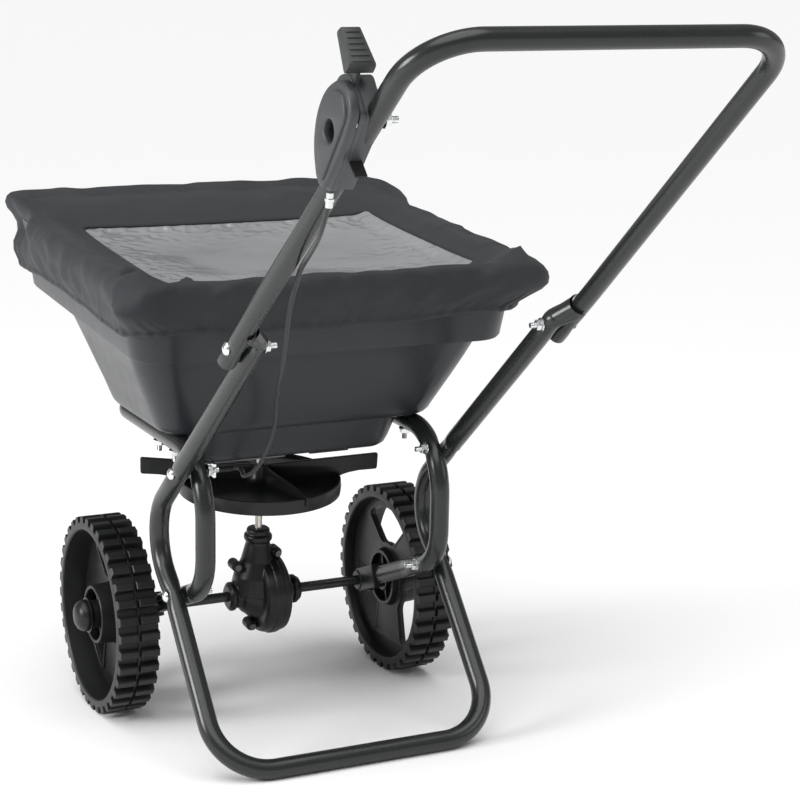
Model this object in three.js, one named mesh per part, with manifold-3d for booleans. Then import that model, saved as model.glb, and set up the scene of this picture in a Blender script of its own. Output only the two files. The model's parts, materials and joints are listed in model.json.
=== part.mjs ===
// Walk-behind broadcast spreader with a rain cover. Millimetres, +Z up, +Y is the direction of travel,
// +X is the right-hand side. The machine is parked: it stands on its two wheels and its rear stand.
// Everything is laid out from the wheel axle (Y = 0) and shifted at the end so that the box is centred.

import * as THREE from 'three';
import { mergeVertices } from 'three/addons/utils/BufferGeometryUtils.js';
import Module from 'manifold-3d';

// ---------------------------------------------------------------- driving dimensions
const GAP = 0.3;                  // clearance between touching pieces
const WHEEL_RADIUS = 115;
const WHEEL_WIDTH = 48;
const WHEEL_X = 186;              // wheel centre plane, each side
const LUGS = 36;
const LUG_DEPTH = 6;
const LUG_PITCH = (2 * Math.PI) / LUGS;
const LUG_FLAT = 0.38;            // share of the pitch that is the lug's flat face
// The wheel rests on the flat of one lug.
const AXLE_Z = WHEEL_RADIUS * Math.cos((LUG_FLAT * LUG_PITCH) / 2);
const AXLE_RADIUS = 6;
const FRAME_RADIUS = 11;          // main frame and hopper support tubes
const FRAME_WALL = 1.5;
const BORE_SIDES = 8;
const FRAME_X = 164;              // centre plane of the main frame's legs
const SUPPORT_X = FRAME_X - 2 * FRAME_RADIUS - GAP;
const HANDLE_RADIUS = 10;         // upper handle tube
const HANDLE_X = FRAME_X + FRAME_RADIUS + HANDLE_RADIUS + GAP;
const GRIP_X = 178;               // the handle's legs come a little closer together towards the grip
const LEAN = THREE.MathUtils.degToRad(6);   // hopper and spinner lean back while parked
const CENTRE_Y = 300.7;             // from the axle to the middle of the machine's length

// Places on the machine's side view, as (Y, Z) seen from the axle.
const CROSS_LOW = new THREE.Vector2(-164, 174.7);    // lower bolt, where the two frame tubes cross
const CROSS_HIGH = new THREE.Vector2(-189.5, 317.2); // upper bolt, where they cross again
const HANDLE_JOINT = new THREE.Vector2(-410.3, 488.3);
const HANDLE_TOP = new THREE.Vector2(-800.5, 790.6);
const TUBE_SIDES = 12;
// The stand's cross bar rests on one of the tube's flats.
const STAND_FOOT = new THREE.Vector2(-301.5, FRAME_RADIUS * Math.cos(Math.PI / TUBE_SIDES));
const LEVER_PIVOT = new THREE.Vector2(-689, 714);

// Hopper, in its own leaning frame: heights are measured from the axle along the spinner shaft.
const FLOOR_Z = 206;              // underside of the sump
const LEDGE_Z = 240;              // underside of the step that rests on the support tube, at Y = 0
const LEDGE_TILT = 0.06;          // the step and the tube under it are lower towards the front
const EAR_Z = 350;                // underside of the rim band
const RIM_Z = 430;
const RAIL_Z = 228.5;             // centre line of the support tube under the hopper, at Y = 0
const WALL = 3;
const OUTLET = { x: 0, y: -58, width: 20, depth: 44 };
const GATE_Z = 203.2;             // underside of the shutter plate
const GATE_THICKNESS = 2;
const CABLE_Y = -100;             // line of the cable's inner wire at the shutter
const CABLE_Z = 197;
const CABLE_RADIUS = 2.4;

const SPINNER_Z = 132;            // underside of the spinner disc
const SPINNER_RADIUS = 96;
const SPINNER_RIM = 17;
const HUB_TOP = 165;
const SHAFT_RADIUS = 4.5;

const CONTROL_SPLIT_X = -197.3;   // joint plane between the control's body and its outer cover
const CONTROL_OUTER_X = -209.3;
const CONTROL_INNER_X = -175;
const LEVER_X = -194;             // middle plane of the lever plate
const BOLT_RADIUS = 3;

// ---------------------------------------------------------------- materials
const finish = (color, roughness, metalness) => new THREE.MeshStandardMaterial({ color, roughness, metalness });
const painted = () => finish(0x17191a, 0.38, 0.5);
const hopperPlastic = () => finish(0x303236, 0.55, 0);
const blackPlastic = () => finish(0x161718, 0.5, 0);
const greyPlastic = () => finish(0x4a4c50, 0.5, 0);
const zinc = () => finish(0xc9cbcc, 0.3, 1);
const steel = () => finish(0x9a9a94, 0.35, 1);
const fabric = () => finish(0x3b3e43, 0.85, 0);
const clearFilm = () => finish(0xa9abad, 0.25, 0);

// ---------------------------------------------------------------- solids
const wasm = await Module();
wasm.setup();

function toManifold(geometry) {
  const bare = geometry.clone();
  bare.deleteAttribute('normal');
  bare.deleteAttribute('uv');
  const merged = mergeVertices(bare, 1e-4);
  const vertProperties = new Float32Array(merged.attributes.position.array);
  const triVerts = new Uint32Array(merged.index.array);
  return new wasm.Manifold(new wasm.Mesh({ numProp: 3, vertProperties, triVerts }));
}

function toGeometry(manifold) {
  const mesh = manifold.getMesh();
  const geometry = new THREE.BufferGeometry();
  geometry.setAttribute('position', new THREE.BufferAttribute(new Float32Array(mesh.vertProperties), 3));
  geometry.setIndex(new THREE.BufferAttribute(new Uint32Array(mesh.triVerts), 1));
  geometry.computeVertexNormals();
  return geometry;
}

const join = (...pieces) => toGeometry(pieces.map(toManifold).reduce((sum, piece) => sum.add(piece)));
const cut = (base, ...tools) => toGeometry(tools.map(toManifold).reduce((rest, tool) => rest.subtract(tool),
  toManifold(base)));
const keep = (a, b) => toGeometry(toManifold(a).intersect(toManifold(b)));

function box(x0, x1, y0, y1, z0, z1) {
  const geometry = new THREE.BoxGeometry(x1 - x0, y1 - y0, z1 - z0);
  return geometry.translate((x0 + x1) / 2, (y0 + y1) / 2, (z0 + z1) / 2);
}

// A round bar from one X to another, about the line through (y, z).
function barX(radius, x0, x1, y = 0, z = 0, sides = 20) {
  const geometry = new THREE.CylinderGeometry(radius, radius, x1 - x0, sides);
  return geometry.rotateZ(Math.PI / 2).translate((x0 + x1) / 2, y, z);
}

// A round bar from one Z to another, about the line through (x, y).
function barZ(radius, z0, z1, x = 0, y = 0, sides = 20) {
  const geometry = new THREE.CylinderGeometry(radius, radius, z1 - z0, sides);
  return geometry.rotateX(Math.PI / 2).translate(x, y, (z0 + z1) / 2);
}

// A body of revolution about the X axis. The profile is a list of [x, radius] and ends on the axis.
function latheX(profile, sides = 20) {
  const points = profile.map(([x, radius]) => new THREE.Vector2(radius, x));
  return new THREE.LatheGeometry(points, sides).rotateZ(-Math.PI / 2);
}

// A body of revolution about the Z axis. The profile is a list of [radius, z] and ends on the axis.
function latheZ(profile, sides = 20) {
  const points = profile.map(([radius, z]) => new THREE.Vector2(radius, z));
  return new THREE.LatheGeometry(points, sides).rotateX(Math.PI / 2);
}

// An outline in the (Y, Z) plane, made solid from one X to another.
function plateX(shape, x0, x1, segments = 8) {
  const geometry = new THREE.ExtrudeGeometry(shape, { depth: x1 - x0, bevelEnabled: false, curveSegments: segments });
  return geometry.rotateY(Math.PI / 2).rotateX(Math.PI / 2).translate(x0, 0, 0);
}

// ---------------------------------------------------------------- tubes
// A bent tube's centre line. Stations lie close together in the bends and only at the ends of the straights.
class TubeLine extends THREE.Curve {
  constructor(points, tangents) {
    super();
    this.stations = points;
    this.directions = tangents;
  }

  getPointAt(u) {
    return this.stations[Math.round(u * (this.stations.length - 1))].clone();
  }

  getTangentAt(u) {
    return this.directions[Math.round(u * (this.stations.length - 1))].clone();
  }
}

// corners is a list of [x, y, z, bendRadius]; the first and last corners are the tube's ends.
function tubeLine(corners, stepAngle = Math.PI / 8) {
  const points = [];
  const tangents = [];
  const at = (i) => new THREE.Vector3(corners[i][0], corners[i][1], corners[i][2]);
  const push = (point, tangent) => {
    points.push(point);
    tangents.push(tangent.clone().normalize());
  };
  push(at(0), at(1).sub(at(0)));
  for (let i = 1; i < corners.length - 1; i += 1) {
    const before = at(i).sub(at(i - 1)).normalize();
    const after = at(i + 1).sub(at(i)).normalize();
    const turn = before.angleTo(after);
    const radius = corners[i][3];
    const start = at(i).addScaledVector(before, -radius * Math.tan(turn / 2));
    const inward = after.clone().addScaledVector(before, -after.dot(before)).normalize();
    const steps = Math.max(2, Math.ceil(turn / stepAngle));
    for (let k = 0; k <= steps; k += 1) {
      const angle = (turn * k) / steps;
      const point = start.clone().addScaledVector(before, radius * Math.sin(angle))
        .addScaledVector(inward, radius * (1 - Math.cos(angle)));
      push(point, before.clone().multiplyScalar(Math.cos(angle)).addScaledVector(inward, Math.sin(angle)));
    }
  }
  const last = corners.length - 1;
  push(at(last), at(last).sub(at(last - 1)));
  return new TubeLine(points, tangents);
}

function polygon(radius, sides, roll = 0) {
  const points = [];
  for (let i = 0; i < sides; i += 1) {
    const angle = roll + (2 * Math.PI * (i + 0.5)) / sides;
    points.push(new THREE.Vector2(radius * Math.cos(angle), radius * Math.sin(angle)));
  }
  return points;
}

function tubeAlong(line, radius, wall, roll = 0) {
  const shape = new THREE.Shape(polygon(radius, TUBE_SIDES, roll));
  if (wall > 0) {
    shape.holes.push(new THREE.Path(polygon(radius - wall, BORE_SIDES, roll)));
  }
  return new THREE.ExtrudeGeometry(shape, {
    steps: line.stations.length - 1, extrudePath: line, bevelEnabled: false,
  });
}

const mirrored = (corners) => corners.map(([x, y, z, r]) => [-x, y, z, r]).reverse();

// Where a straight line through two side-view points passes a given Y.
function heightAt(a, b, y) {
  return a.y + ((b.y - a.y) * (y - a.x)) / (b.x - a.x);
}

// ---------------------------------------------------------------- the scene
const machine = new THREE.Group();
machine.position.y = CENTRE_Y;
const leaning = new THREE.Group();
leaning.position.z = AXLE_Z;
leaning.rotation.x = LEAN;
machine.add(leaning);

function part(name, geometry, material, parent = machine) {
  const mesh = new THREE.Mesh(geometry, material);
  mesh.name = name;
  parent.add(mesh);
  return mesh;
}

// From the hopper's leaning frame to the machine's side view.
function fromLeaning(y, z) {
  const point = new THREE.Vector2(y, z).rotateAround(new THREE.Vector2(), LEAN);
  return point.add(new THREE.Vector2(0, AXLE_Z));
}

// Heights of the hopper's step and of the support tube's centre line at a place along the hopper.
const ledgeAt = (y) => LEDGE_Z - LEDGE_TILT * y;
const railAt = (y) => RAIL_Z - LEDGE_TILT * y;

// ---------------------------------------------------------------- frame
const handleSlope = HANDLE_TOP.clone().sub(HANDLE_JOINT).normalize();
const alongHandle = (distance) => HANDLE_JOINT.clone().addScaledVector(handleSlope, distance);

function mainFrameLine() {
  const end = alongHandle(38);
  const bulge = new THREE.Vector2(-88, heightAt(HANDLE_JOINT, HANDLE_TOP, -88));
  const right = [
    [FRAME_X, end.x, end.y, 0],
    [FRAME_X, bulge.x, bulge.y, 56],
    [FRAME_X, CROSS_LOW.x, CROSS_LOW.y, 70],
    [FRAME_X, STAND_FOOT.x, STAND_FOOT.y, 62],
  ];
  return tubeLine([...right, ...mirrored(right)]);
}

function supportLine() {
  const front = fromLeaning(97, railAt(97));
  const railEnd = fromLeaning(-183, railAt(-183));
  const axleEnd = new THREE.Vector2(-26, AXLE_Z + 9.5);
  const lowCorner = new THREE.Vector2(-204, heightAt(CROSS_LOW, axleEnd, -204));
  const right = [
    [SUPPORT_X, axleEnd.x, axleEnd.y, 0],
    [SUPPORT_X, lowCorner.x, lowCorner.y, 52],
    [SUPPORT_X, -210, railEnd.y, 70],
    [SUPPORT_X, front.x, front.y, 40],
  ];
  return tubeLine([...right, ...mirrored(right)]);
}

const STRAIGHT_LENGTH = 60;       // the handle's legs run straight this far past the joint bolt
const HANDLE_LENGTH = HANDLE_TOP.distanceTo(HANDLE_JOINT);

// Half the handle's width at a distance along it from the joint bolt.
function handleXAt(distance) {
  const share = Math.max(0, (distance - STRAIGHT_LENGTH) / (HANDLE_LENGTH - STRAIGHT_LENGTH));
  return HANDLE_X + (GRIP_X - HANDLE_X) * share;
}

function handleLine() {
  const start = alongHandle(-26);
  const bend = alongHandle(STRAIGHT_LENGTH);
  const right = [
    [HANDLE_X, start.x, start.y, 0],
    [HANDLE_X, bend.x, bend.y, 300],
    [GRIP_X, HANDLE_TOP.x, HANDLE_TOP.y, 56],
  ];
  return tubeLine([...right, ...mirrored(right)]);
}

// The support tube is pressed flat where it runs forward to the axle bearings.
function flattenTowardsAxle(geometry) {
  const position = geometry.attributes.position;
  const from = CROSS_LOW.x + 14;
  const fullBy = CROSS_LOW.x + 50;
  for (let i = 0; i < position.count; i += 1) {
    const y = position.getY(i);
    if (y > from && position.getZ(i) < CROSS_LOW.y + 20) {
      const centre = Math.sign(position.getX(i)) * SUPPORT_X;
      const amount = Math.min(1, (y - from) / (fullBy - from));
      const squeeze = 1 - 0.56 * amount;
      position.setX(i, centre + (position.getX(i) - centre) * squeeze);
    }
  }
  return geometry;
}

const holeAt = (place, x0, x1) => barX(BOLT_RADIUS + GAP, x0, x1, place.x, place.y, 8);
const FAR = 230;                  // past the outermost tube

function supportFlatStations(line) {
  // Extra stations in the last straights let the tube be pressed flat there.
  const extra = (from, to, share) => from.clone().lerp(to, share);
  const refine = (points, tangents, a, b) => {
    const out = [0.15, 0.32, 0.5, 0.75].map((share) => extra(points[a], points[b], share));
    points.splice(a + 1, 0, ...out);
    tangents.splice(a + 1, 0, ...out.map(() => tangents[a].clone()));
  };
  const count = line.stations.length;
  refine(line.stations, line.directions, count - 2, count - 1);
  const mirror = [0.25, 0.5, 0.68, 0.85].map((share) => extra(line.stations[0], line.stations[1], share));
  line.stations.splice(1, 0, ...mirror);
  line.directions.splice(1, 0, ...mirror.map(() => line.directions[0].clone()));
  return line;
}

function hopperBoltPlaces() {
  const places = [];
  for (const [end, y] of [['front', -43], ['rear', -94]]) {
    for (const [side, sign] of [['left', -1], ['right', 1]]) {
      places.push({ name: `hopper_bolt_${end}_${side}`, x: sign * SUPPORT_X, y });
    }
  }
  return places;
}

function addFrame() {
  const legSlope = Math.atan2(STAND_FOOT.y - CROSS_LOW.y, STAND_FOOT.x - CROSS_LOW.x);
  const main = cut(tubeAlong(mainFrameLine(), FRAME_RADIUS, FRAME_WALL, legSlope + Math.PI / 2),
    holeAt(CROSS_LOW, -FAR, FAR), holeAt(CROSS_HIGH, -FAR, FAR), holeAt(HANDLE_JOINT, -FAR, FAR));
  part('main_frame_tube', main, painted());

  const pressed = flattenTowardsAxle(tubeAlong(supportFlatStations(supportLine()), FRAME_RADIUS, FRAME_WALL));
  const hopperHoles = hopperBoltPlaces().map(({ x, y }) => {
    const hole = barZ(BOLT_RADIUS + 2 * GAP, RAIL_Z - 30, RAIL_Z + 30, x, y, 8);
    return hole.rotateX(LEAN).translate(0, 0, AXLE_Z);
  });
  part('hopper_support_tube', cut(pressed, holeAt(CROSS_LOW, -FAR, FAR), holeAt(CROSS_HIGH, -FAR, FAR),
    ...hopperHoles), painted());

  const clampHole = holeAt(controlPoint(CLAMP_ALONG), -FAR, 0);
  part('upper_handle_tube', cut(tubeAlong(handleLine(), HANDLE_RADIUS, FRAME_WALL),
    holeAt(HANDLE_JOINT, -FAR, FAR), clampHole), painted());
}

// A cross bolt with a domed head outside and a nut inside, mirrored from side to side.
function crossBolt(name, place, outside, inside, sign) {
  const profile = [
    [inside - 14, 0], [inside - 14, BOLT_RADIUS], [inside - 6, BOLT_RADIUS], [inside - 5.4, 5.5],
    [inside - GAP, 5.8], [inside - GAP, BOLT_RADIUS], [outside + GAP, BOLT_RADIUS], [outside + GAP, 6.5],
    [outside + 2.4, 6], [outside + 4.2, 3.4], [outside + 4.6, 0],
  ];
  const bolt = latheX(profile, 8);
  if (sign < 0) {
    bolt.rotateZ(Math.PI);
  }
  part(name, bolt.translate(0, place.x, place.y), zinc());
}

function addCrossBolts() {
  const supportInside = SUPPORT_X - FRAME_RADIUS;
  const frameOutside = FRAME_X + FRAME_RADIUS;
  const frameInside = FRAME_X - FRAME_RADIUS;
  const handleOutside = HANDLE_X + HANDLE_RADIUS;
  for (const [side, sign] of [['left', -1], ['right', 1]]) {
    crossBolt(`frame_bolt_lower_${side}`, CROSS_LOW, frameOutside, supportInside, sign);
    crossBolt(`frame_bolt_upper_${side}`, CROSS_HIGH, frameOutside, supportInside, sign);
    crossBolt(`handle_bolt_${side}`, HANDLE_JOINT, handleOutside, frameInside, sign);
  }
}

// ---------------------------------------------------------------- axle, bearings and wheels
function addBearings() {
  const slope = Math.atan2(CROSS_LOW.y - AXLE_Z - 9.5, CROSS_LOW.x + 26);
  for (const [side, sign] of [['left', -1], ['right', 1]]) {
    const x = sign * SUPPORT_X;
    const sleeve = barX(12, Math.min(x - sign * 9, x + sign * 7), Math.max(x - sign * 9, x + sign * 7), 0, 0, 18);
    const flange = barX(16, Math.min(x + sign * 6, x + sign * 10), Math.max(x + sign * 6, x + sign * 10), 0, 0, 18);
    const socket = box(x - 7.5, x + 7.5, -48, 0, -14, 14).rotateX(slope - Math.PI);
    const pocket = box(x - 5.4, x + 5.4, -80, -22, -11.6, 11.6).rotateX(slope - Math.PI);
    const bore = barX(AXLE_RADIUS + GAP, x - 20, x + 20, 0, 0, 20);
    const block = cut(join(sleeve, flange, socket), pocket, bore);
    part(`axle_bearing_${side}`, block.translate(0, 0, AXLE_Z), blackPlastic());
  }
}

function lugOutline(holeRadius) {
  const shape = new THREE.Shape();
  const base = WHEEL_RADIUS - LUG_DEPTH;
  const flank = LUG_FLAT / 2 + 0.1;
  const corners = [[-flank, base], [-LUG_FLAT / 2, WHEEL_RADIUS], [LUG_FLAT / 2, WHEEL_RADIUS], [flank, base]];
  for (let i = 0; i < LUGS; i += 1) {
    for (const [share, radius] of corners) {
      const angle = LUG_PITCH * (i + share) - Math.PI / 2;
      const x = radius * Math.cos(angle);
      const y = radius * Math.sin(angle);
      if (i === 0 && share < -LUG_FLAT / 2) {
        shape.moveTo(x, y);
      } else {
        shape.lineTo(x, y);
      }
    }
  }
  shape.closePath();
  const hole = new THREE.Path();
  hole.absarc(0, 0, holeRadius, 0, 2 * Math.PI, true);
  shape.holes.push(hole);
  return shape;
}

const WEB_X = -6;                 // the dished web sits inboard of the wheel's middle
const WINDOWS = 3;

function webShape() {
  const shape = new THREE.Shape();
  shape.setFromPoints(polygon(98, 28));
  for (let i = 0; i < WINDOWS; i += 1) {
    const middle = Math.PI / 2 + (2 * Math.PI * i) / WINDOWS;
    const hole = new THREE.Path();
    hole.absarc(0, 0, 84, middle - 0.5, middle + 0.5);
    hole.absarc(0, 0, 44, middle + 0.3, middle - 0.3, true);
    hole.closePath();
    shape.holes.push(hole);
  }
  return shape;
}

// The wheel about its own centre, outer face towards +X.
function wheelGeometry(boreRadius) {
  const half = WHEEL_WIDTH / 2;
  const tread = plateX(lugOutline(96), -half, half, 14);
  const web = plateX(webShape(), WEB_X - 4, WEB_X + 4, 6);
  const cup = cut(barX(33, -20, half - 6, 0, 0, 20), barX(29, WEB_X + 4, half, 0, 0, 20),
    barX(29, -half, WEB_X - 4, 0, 0, 20));
  const boss = barX(15, -half + 1, half - 2, 0, 0, 16);
  const bore = barX(boreRadius, -half - 1, half + 1, 0, 0, 16);
  return cut(join(tread, web, cup, boss), bore);
}

const PIN_X = WHEEL_X + 14;       // cross pin that drives the left wheel
const CAP_SEAT = WHEEL_X + WHEEL_WIDTH / 2 + 1;

function addWheels() {
  const pinHole = barZ(2 + GAP, -15.5, 15.5, -PIN_X, 0, 10);
  const left = wheelGeometry(AXLE_RADIUS + GAP).rotateZ(Math.PI).translate(-WHEEL_X, 0, 0);
  part('wheel_left', cut(left, pinHole).translate(0, 0, AXLE_Z), blackPlastic());
  const right = wheelGeometry(AXLE_RADIUS + GAP).translate(WHEEL_X, 0, 0);
  part('wheel_right', right.translate(0, 0, AXLE_Z), blackPlastic());

  const axle = cut(barX(AXLE_RADIUS, -CAP_SEAT - 7, CAP_SEAT + 7, 0, 0, 16), pinHole);
  part('axle', axle.translate(0, 0, AXLE_Z), painted());
  part('wheel_drive_pin', barZ(2, -14.5, 14.5, -PIN_X, 0, 10).translate(0, 0, AXLE_Z), steel());

  for (const [side, sign] of [['left', -1], ['right', 1]]) {
    const profile = [
      [CAP_SEAT - 1, 0], [CAP_SEAT - 1, 15], [CAP_SEAT + 4, 15], [CAP_SEAT + 9, 13.5], [CAP_SEAT + 12.5, 9],
      [CAP_SEAT + 13.5, 0],
    ];
    const cap = cut(latheX(profile, 20), barX(AXLE_RADIUS + GAP, CAP_SEAT - 4, CAP_SEAT + 7 + GAP, 0, 0, 16));
    if (sign < 0) {
      cap.rotateZ(Math.PI);
    }
    part(`hub_cap_${side}`, cap.translate(0, 0, AXLE_Z), blackPlastic());

    const washer = cut(barX(11, SUPPORT_X + 10.5, SUPPORT_X + 12.3, 0, 0, 18),
      barX(AXLE_RADIUS + GAP, SUPPORT_X, SUPPORT_X + 20, 0, 0, 16));
    if (sign < 0) {
      washer.rotateZ(Math.PI);
    }
    part(`axle_washer_${side}`, washer.translate(0, 0, AXLE_Z), zinc());
  }
}

// ---------------------------------------------------------------- gearbox
const GEAR_TEETH = 24;
const PINION_TEETH = 8;
const PINION_RADIUS = 10;
const GEAR_FACE_X = PINION_RADIUS + 1.2;   // tips of the axle gear's teeth
const GEAR_RADIUS = 36;

function axleGear() {
  const disc = barX(GEAR_RADIUS, GEAR_FACE_X + 3, GEAR_FACE_X + 9, 0, 0, 24);
  const hub = barX(12, GEAR_FACE_X + 6, GEAR_FACE_X + 15, 0, 0, 16);
  const teeth = [];
  for (let i = 0; i < GEAR_TEETH; i += 1) {
    const tooth = box(GEAR_FACE_X, GEAR_FACE_X + 4, -2, 2, GEAR_RADIUS - 11, GEAR_RADIUS - 1);
    teeth.push(tooth.rotateX((2 * Math.PI * i) / GEAR_TEETH));
  }
  return cut(join(disc, hub, ...teeth), barX(AXLE_RADIUS + GAP, 0, 40, 0, 0, 16));
}

function shaftPinion() {
  const shape = new THREE.Shape();
  const pitch = (2 * Math.PI) / PINION_TEETH;
  for (let i = 0; i < PINION_TEETH; i += 1) {
    for (const [share, radius] of [[0, 7.4], [0.15, PINION_RADIUS], [0.4, PINION_RADIUS], [0.55, 7.4]]) {
      const angle = pitch * (i + share);
      const point = [radius * Math.cos(angle), radius * Math.sin(angle)];
      if (i === 0 && share === 0) {
        shape.moveTo(...point);
      } else {
        shape.lineTo(...point);
      }
    }
  }
  shape.closePath();
  const teeth = new THREE.ExtrudeGeometry(shape, { depth: 11, bevelEnabled: false }).translate(0, 0, 25);
  return cut(teeth, barZ(SHAFT_RADIUS + GAP, 20, 40, 0, 0, 16));
}

// The case's outer shape, or its cavity when it is made smaller by the wall.
function gearCase(inset) {
  const drum = barX(47 - inset, -3 + inset, 30 - inset, 0, 0, 24);
  const neck = latheZ([[0, 10], [30 - inset, 10], [30 - inset, 26], [15 - inset, 66], [15 - inset, 84 - inset],
    [0, 84 - inset]], 16);
  const side = latheX([[-26 + inset, 0], [-26 + inset, 12 - inset], [-20 + inset, 20 - inset],
    [10, 32 - inset], [10, 0]], 16);
  return join(drum, neck, side);
}

const CASE_BOSS = 15;             // outer radius of the case's axle bosses

function addGearbox() {
  const wall = 3;
  const bosses = join(barX(CASE_BOSS, -38, 20, 0, 0, 16), barX(CASE_BOSS, 20, 54, 0, 0, 16));
  const collar = barZ(17, 70, 76, 0, 0, 16);
  const outer = join(gearCase(0), bosses, collar);
  const hollow = join(gearCase(wall), barX(AXLE_RADIUS + 1, -60, 60, 0, 0, 16), barZ(10 + GAP, 60, 90, 0, 0, 16));
  const screws = [];
  for (const [name, x, z] of [['upper_left', -29, 40], ['upper_right', 22, 52], ['lower_left', -8, -38],
    ['lower_right', 35, -32]]) {
    screws.push({ name, x, z });
  }
  const lug = ({ x, z }) => barZ(6.5, -9, 9, 0, 0, 10).rotateX(Math.PI / 2).translate(x, 0, z);
  const hole = ({ x, z }) => barZ(2 + GAP, -12, 12, 0, 0, 8).rotateX(Math.PI / 2).translate(x, 0, z);
  const shell = cut(join(outer, ...screws.map(lug)), hollow, ...screws.map(hole));
  const half = GAP / 2;
  part('gearbox_rear_shell', keep(shell, box(-80, 80, -80, -half, -80, 120)), blackPlastic(), leaning);
  part('gearbox_front_shell', keep(shell, box(-80, 80, half, 80, -80, 120)), blackPlastic(), leaning);
  for (const screw of screws) {
    const profile = [[0, -13], [4, -13], [4.2, -9.3], [2, -9.3], [2, 8.7], [0, 8.7]];
    const geometry = latheZ(profile, 8).rotateX(-Math.PI / 2).translate(screw.x, 0, screw.z);
    part(`gearbox_screw_${screw.name}`, geometry, zinc(), leaning);
  }
  const bush = cut(barZ(10, 66, 83, 0, 0, 16), barZ(SHAFT_RADIUS + GAP, 60, 90, 0, 0, 12));
  part('shaft_bushing', bush, steel(), leaning);
  part('axle_gear', axleGear().translate(0, 0, AXLE_Z), blackPlastic());
  part('shaft_pinion', shaftPinion(), steel(), leaning);
}

// ---------------------------------------------------------------- spinner
const AGITATOR_Z = 226;
const VANE_THICKNESS = 4;

// Vane outlines as (distance from the shaft, height). The long ones reach out past the dish.
const LONG_VANE = [[7, SPINNER_Z + 10], [SPINNER_RADIUS - 2, SPINNER_Z + 10], [SPINNER_RADIUS - 2, 146],
  [104, 150], [118, 153.5], [141, 155], [141, 175], [110, 172], [7, 163]];
const SHORT_VANE = [[7, SPINNER_Z + 10], [SPINNER_RADIUS - 2, SPINNER_Z + 10], [SPINNER_RADIUS + 3, 138],
  [SPINNER_RADIUS + 3, 151], [7, 163]];

function vane(outline, turn) {
  const shape = new THREE.Shape(outline.map(([out, z]) => new THREE.Vector2(out, z)));
  const plate = new THREE.ExtrudeGeometry(shape, { depth: VANE_THICKNESS, bevelEnabled: false });
  return plate.rotateX(Math.PI / 2).translate(0, VANE_THICKNESS / 2, 0).rotateZ(turn);
}

function addSpinner() {
  const pinZ = SPINNER_Z + 20;
  const pinHole = barX(1.5 + GAP, -20, 20, 0, pinZ, 8);
  const agitatorHole = barX(2 + GAP, -20, 20, 0, AGITATOR_Z, 8);
  part('spinner_shaft', cut(barZ(SHAFT_RADIUS, 21, 236, 0, 0, 12), pinHole, agitatorHole), steel(), leaning);
  part('agitator_pin', barX(2, -32, 32, 0, AGITATOR_Z, 8), steel(), leaning);
  part('spinner_pin', barX(1.5, -10.5, 10.5, 0, pinZ, 8), steel(), leaning);

  const top = SPINNER_Z + SPINNER_RIM;
  const dish = latheZ([
    [0, SPINNER_Z + 4], [14, SPINNER_Z + 4], [14, SPINNER_Z + 8], [SPINNER_RADIUS - 4, SPINNER_Z + 8],
    [SPINNER_RADIUS - 3, SPINNER_Z], [SPINNER_RADIUS, SPINNER_Z], [SPINNER_RADIUS, top],
    [SPINNER_RADIUS - 4, top], [SPINNER_RADIUS - 8, SPINNER_Z + 12], [0, SPINNER_Z + 12],
  ], 28);
  const hub = barZ(11, SPINNER_Z + 4, HUB_TOP, 0, 0, 18);
  const vanes = [];
  for (const turn of [0, Math.PI]) {
    vanes.push(vane(LONG_VANE, turn - THREE.MathUtils.degToRad(14)));
    vanes.push(vane(SHORT_VANE, turn - THREE.MathUtils.degToRad(78)));
  }
  const pinSlot = barX(1.5 + GAP, -15, 15, 0, pinZ, 8);
  const spinner = cut(join(dish, hub, ...vanes), barZ(SHAFT_RADIUS + GAP, 100, 200, 0, 0, 12), pinSlot);
  part('spinner', spinner, blackPlastic(), leaning);
}

// ---------------------------------------------------------------- hopper and its rain cover
// A rounded rectangle at one height: half width, rear and front ends, and the radii of its corners.
function ring({ z, half, rear, front, radius, frontRadius = radius, tilt = 0 }, inset = 0) {
  const points = [];
  const back = Math.max(2, radius - inset);
  const nose = Math.max(2, frontRadius - inset);
  const corners = [[half - inset - nose, front - inset - nose, nose, 0],
    [nose + inset - half, front - inset - nose, nose, 1],
    [back + inset - half, rear + inset + back, back, 2],
    [half - inset - back, rear + inset + back, back, 3]];
  const steps = 4;
  for (const [x, y, r, quarter] of corners) {
    for (let k = 0; k <= steps; k += 1) {
      const angle = (quarter + k / steps) * (Math.PI / 2);
      const along = y + r * Math.sin(angle);
      points.push(new THREE.Vector3(x + r * Math.cos(angle), along, z - tilt * along));
    }
  }
  return points;
}

// A closed solid through a stack of rings, lowest first.
function stack(rings) {
  const count = rings[0].length;
  const positions = rings.flat().flatMap((point) => [point.x, point.y, point.z]);
  const index = [];
  for (let level = 0; level + 1 < rings.length; level += 1) {
    for (let k = 0; k < count; k += 1) {
      const a = level * count + k;
      const b = level * count + ((k + 1) % count);
      index.push(a, b, b + count, a, b + count, a + count);
    }
  }
  const topStart = (rings.length - 1) * count;
  for (let k = 1; k + 1 < count; k += 1) {
    index.push(0, k + 1, k, topStart, topStart + k, topStart + k + 1);
  }
  const geometry = new THREE.BufferGeometry();
  geometry.setAttribute('position', new THREE.Float32BufferAttribute(positions, 3));
  geometry.setIndex(index);
  return geometry;
}

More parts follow.
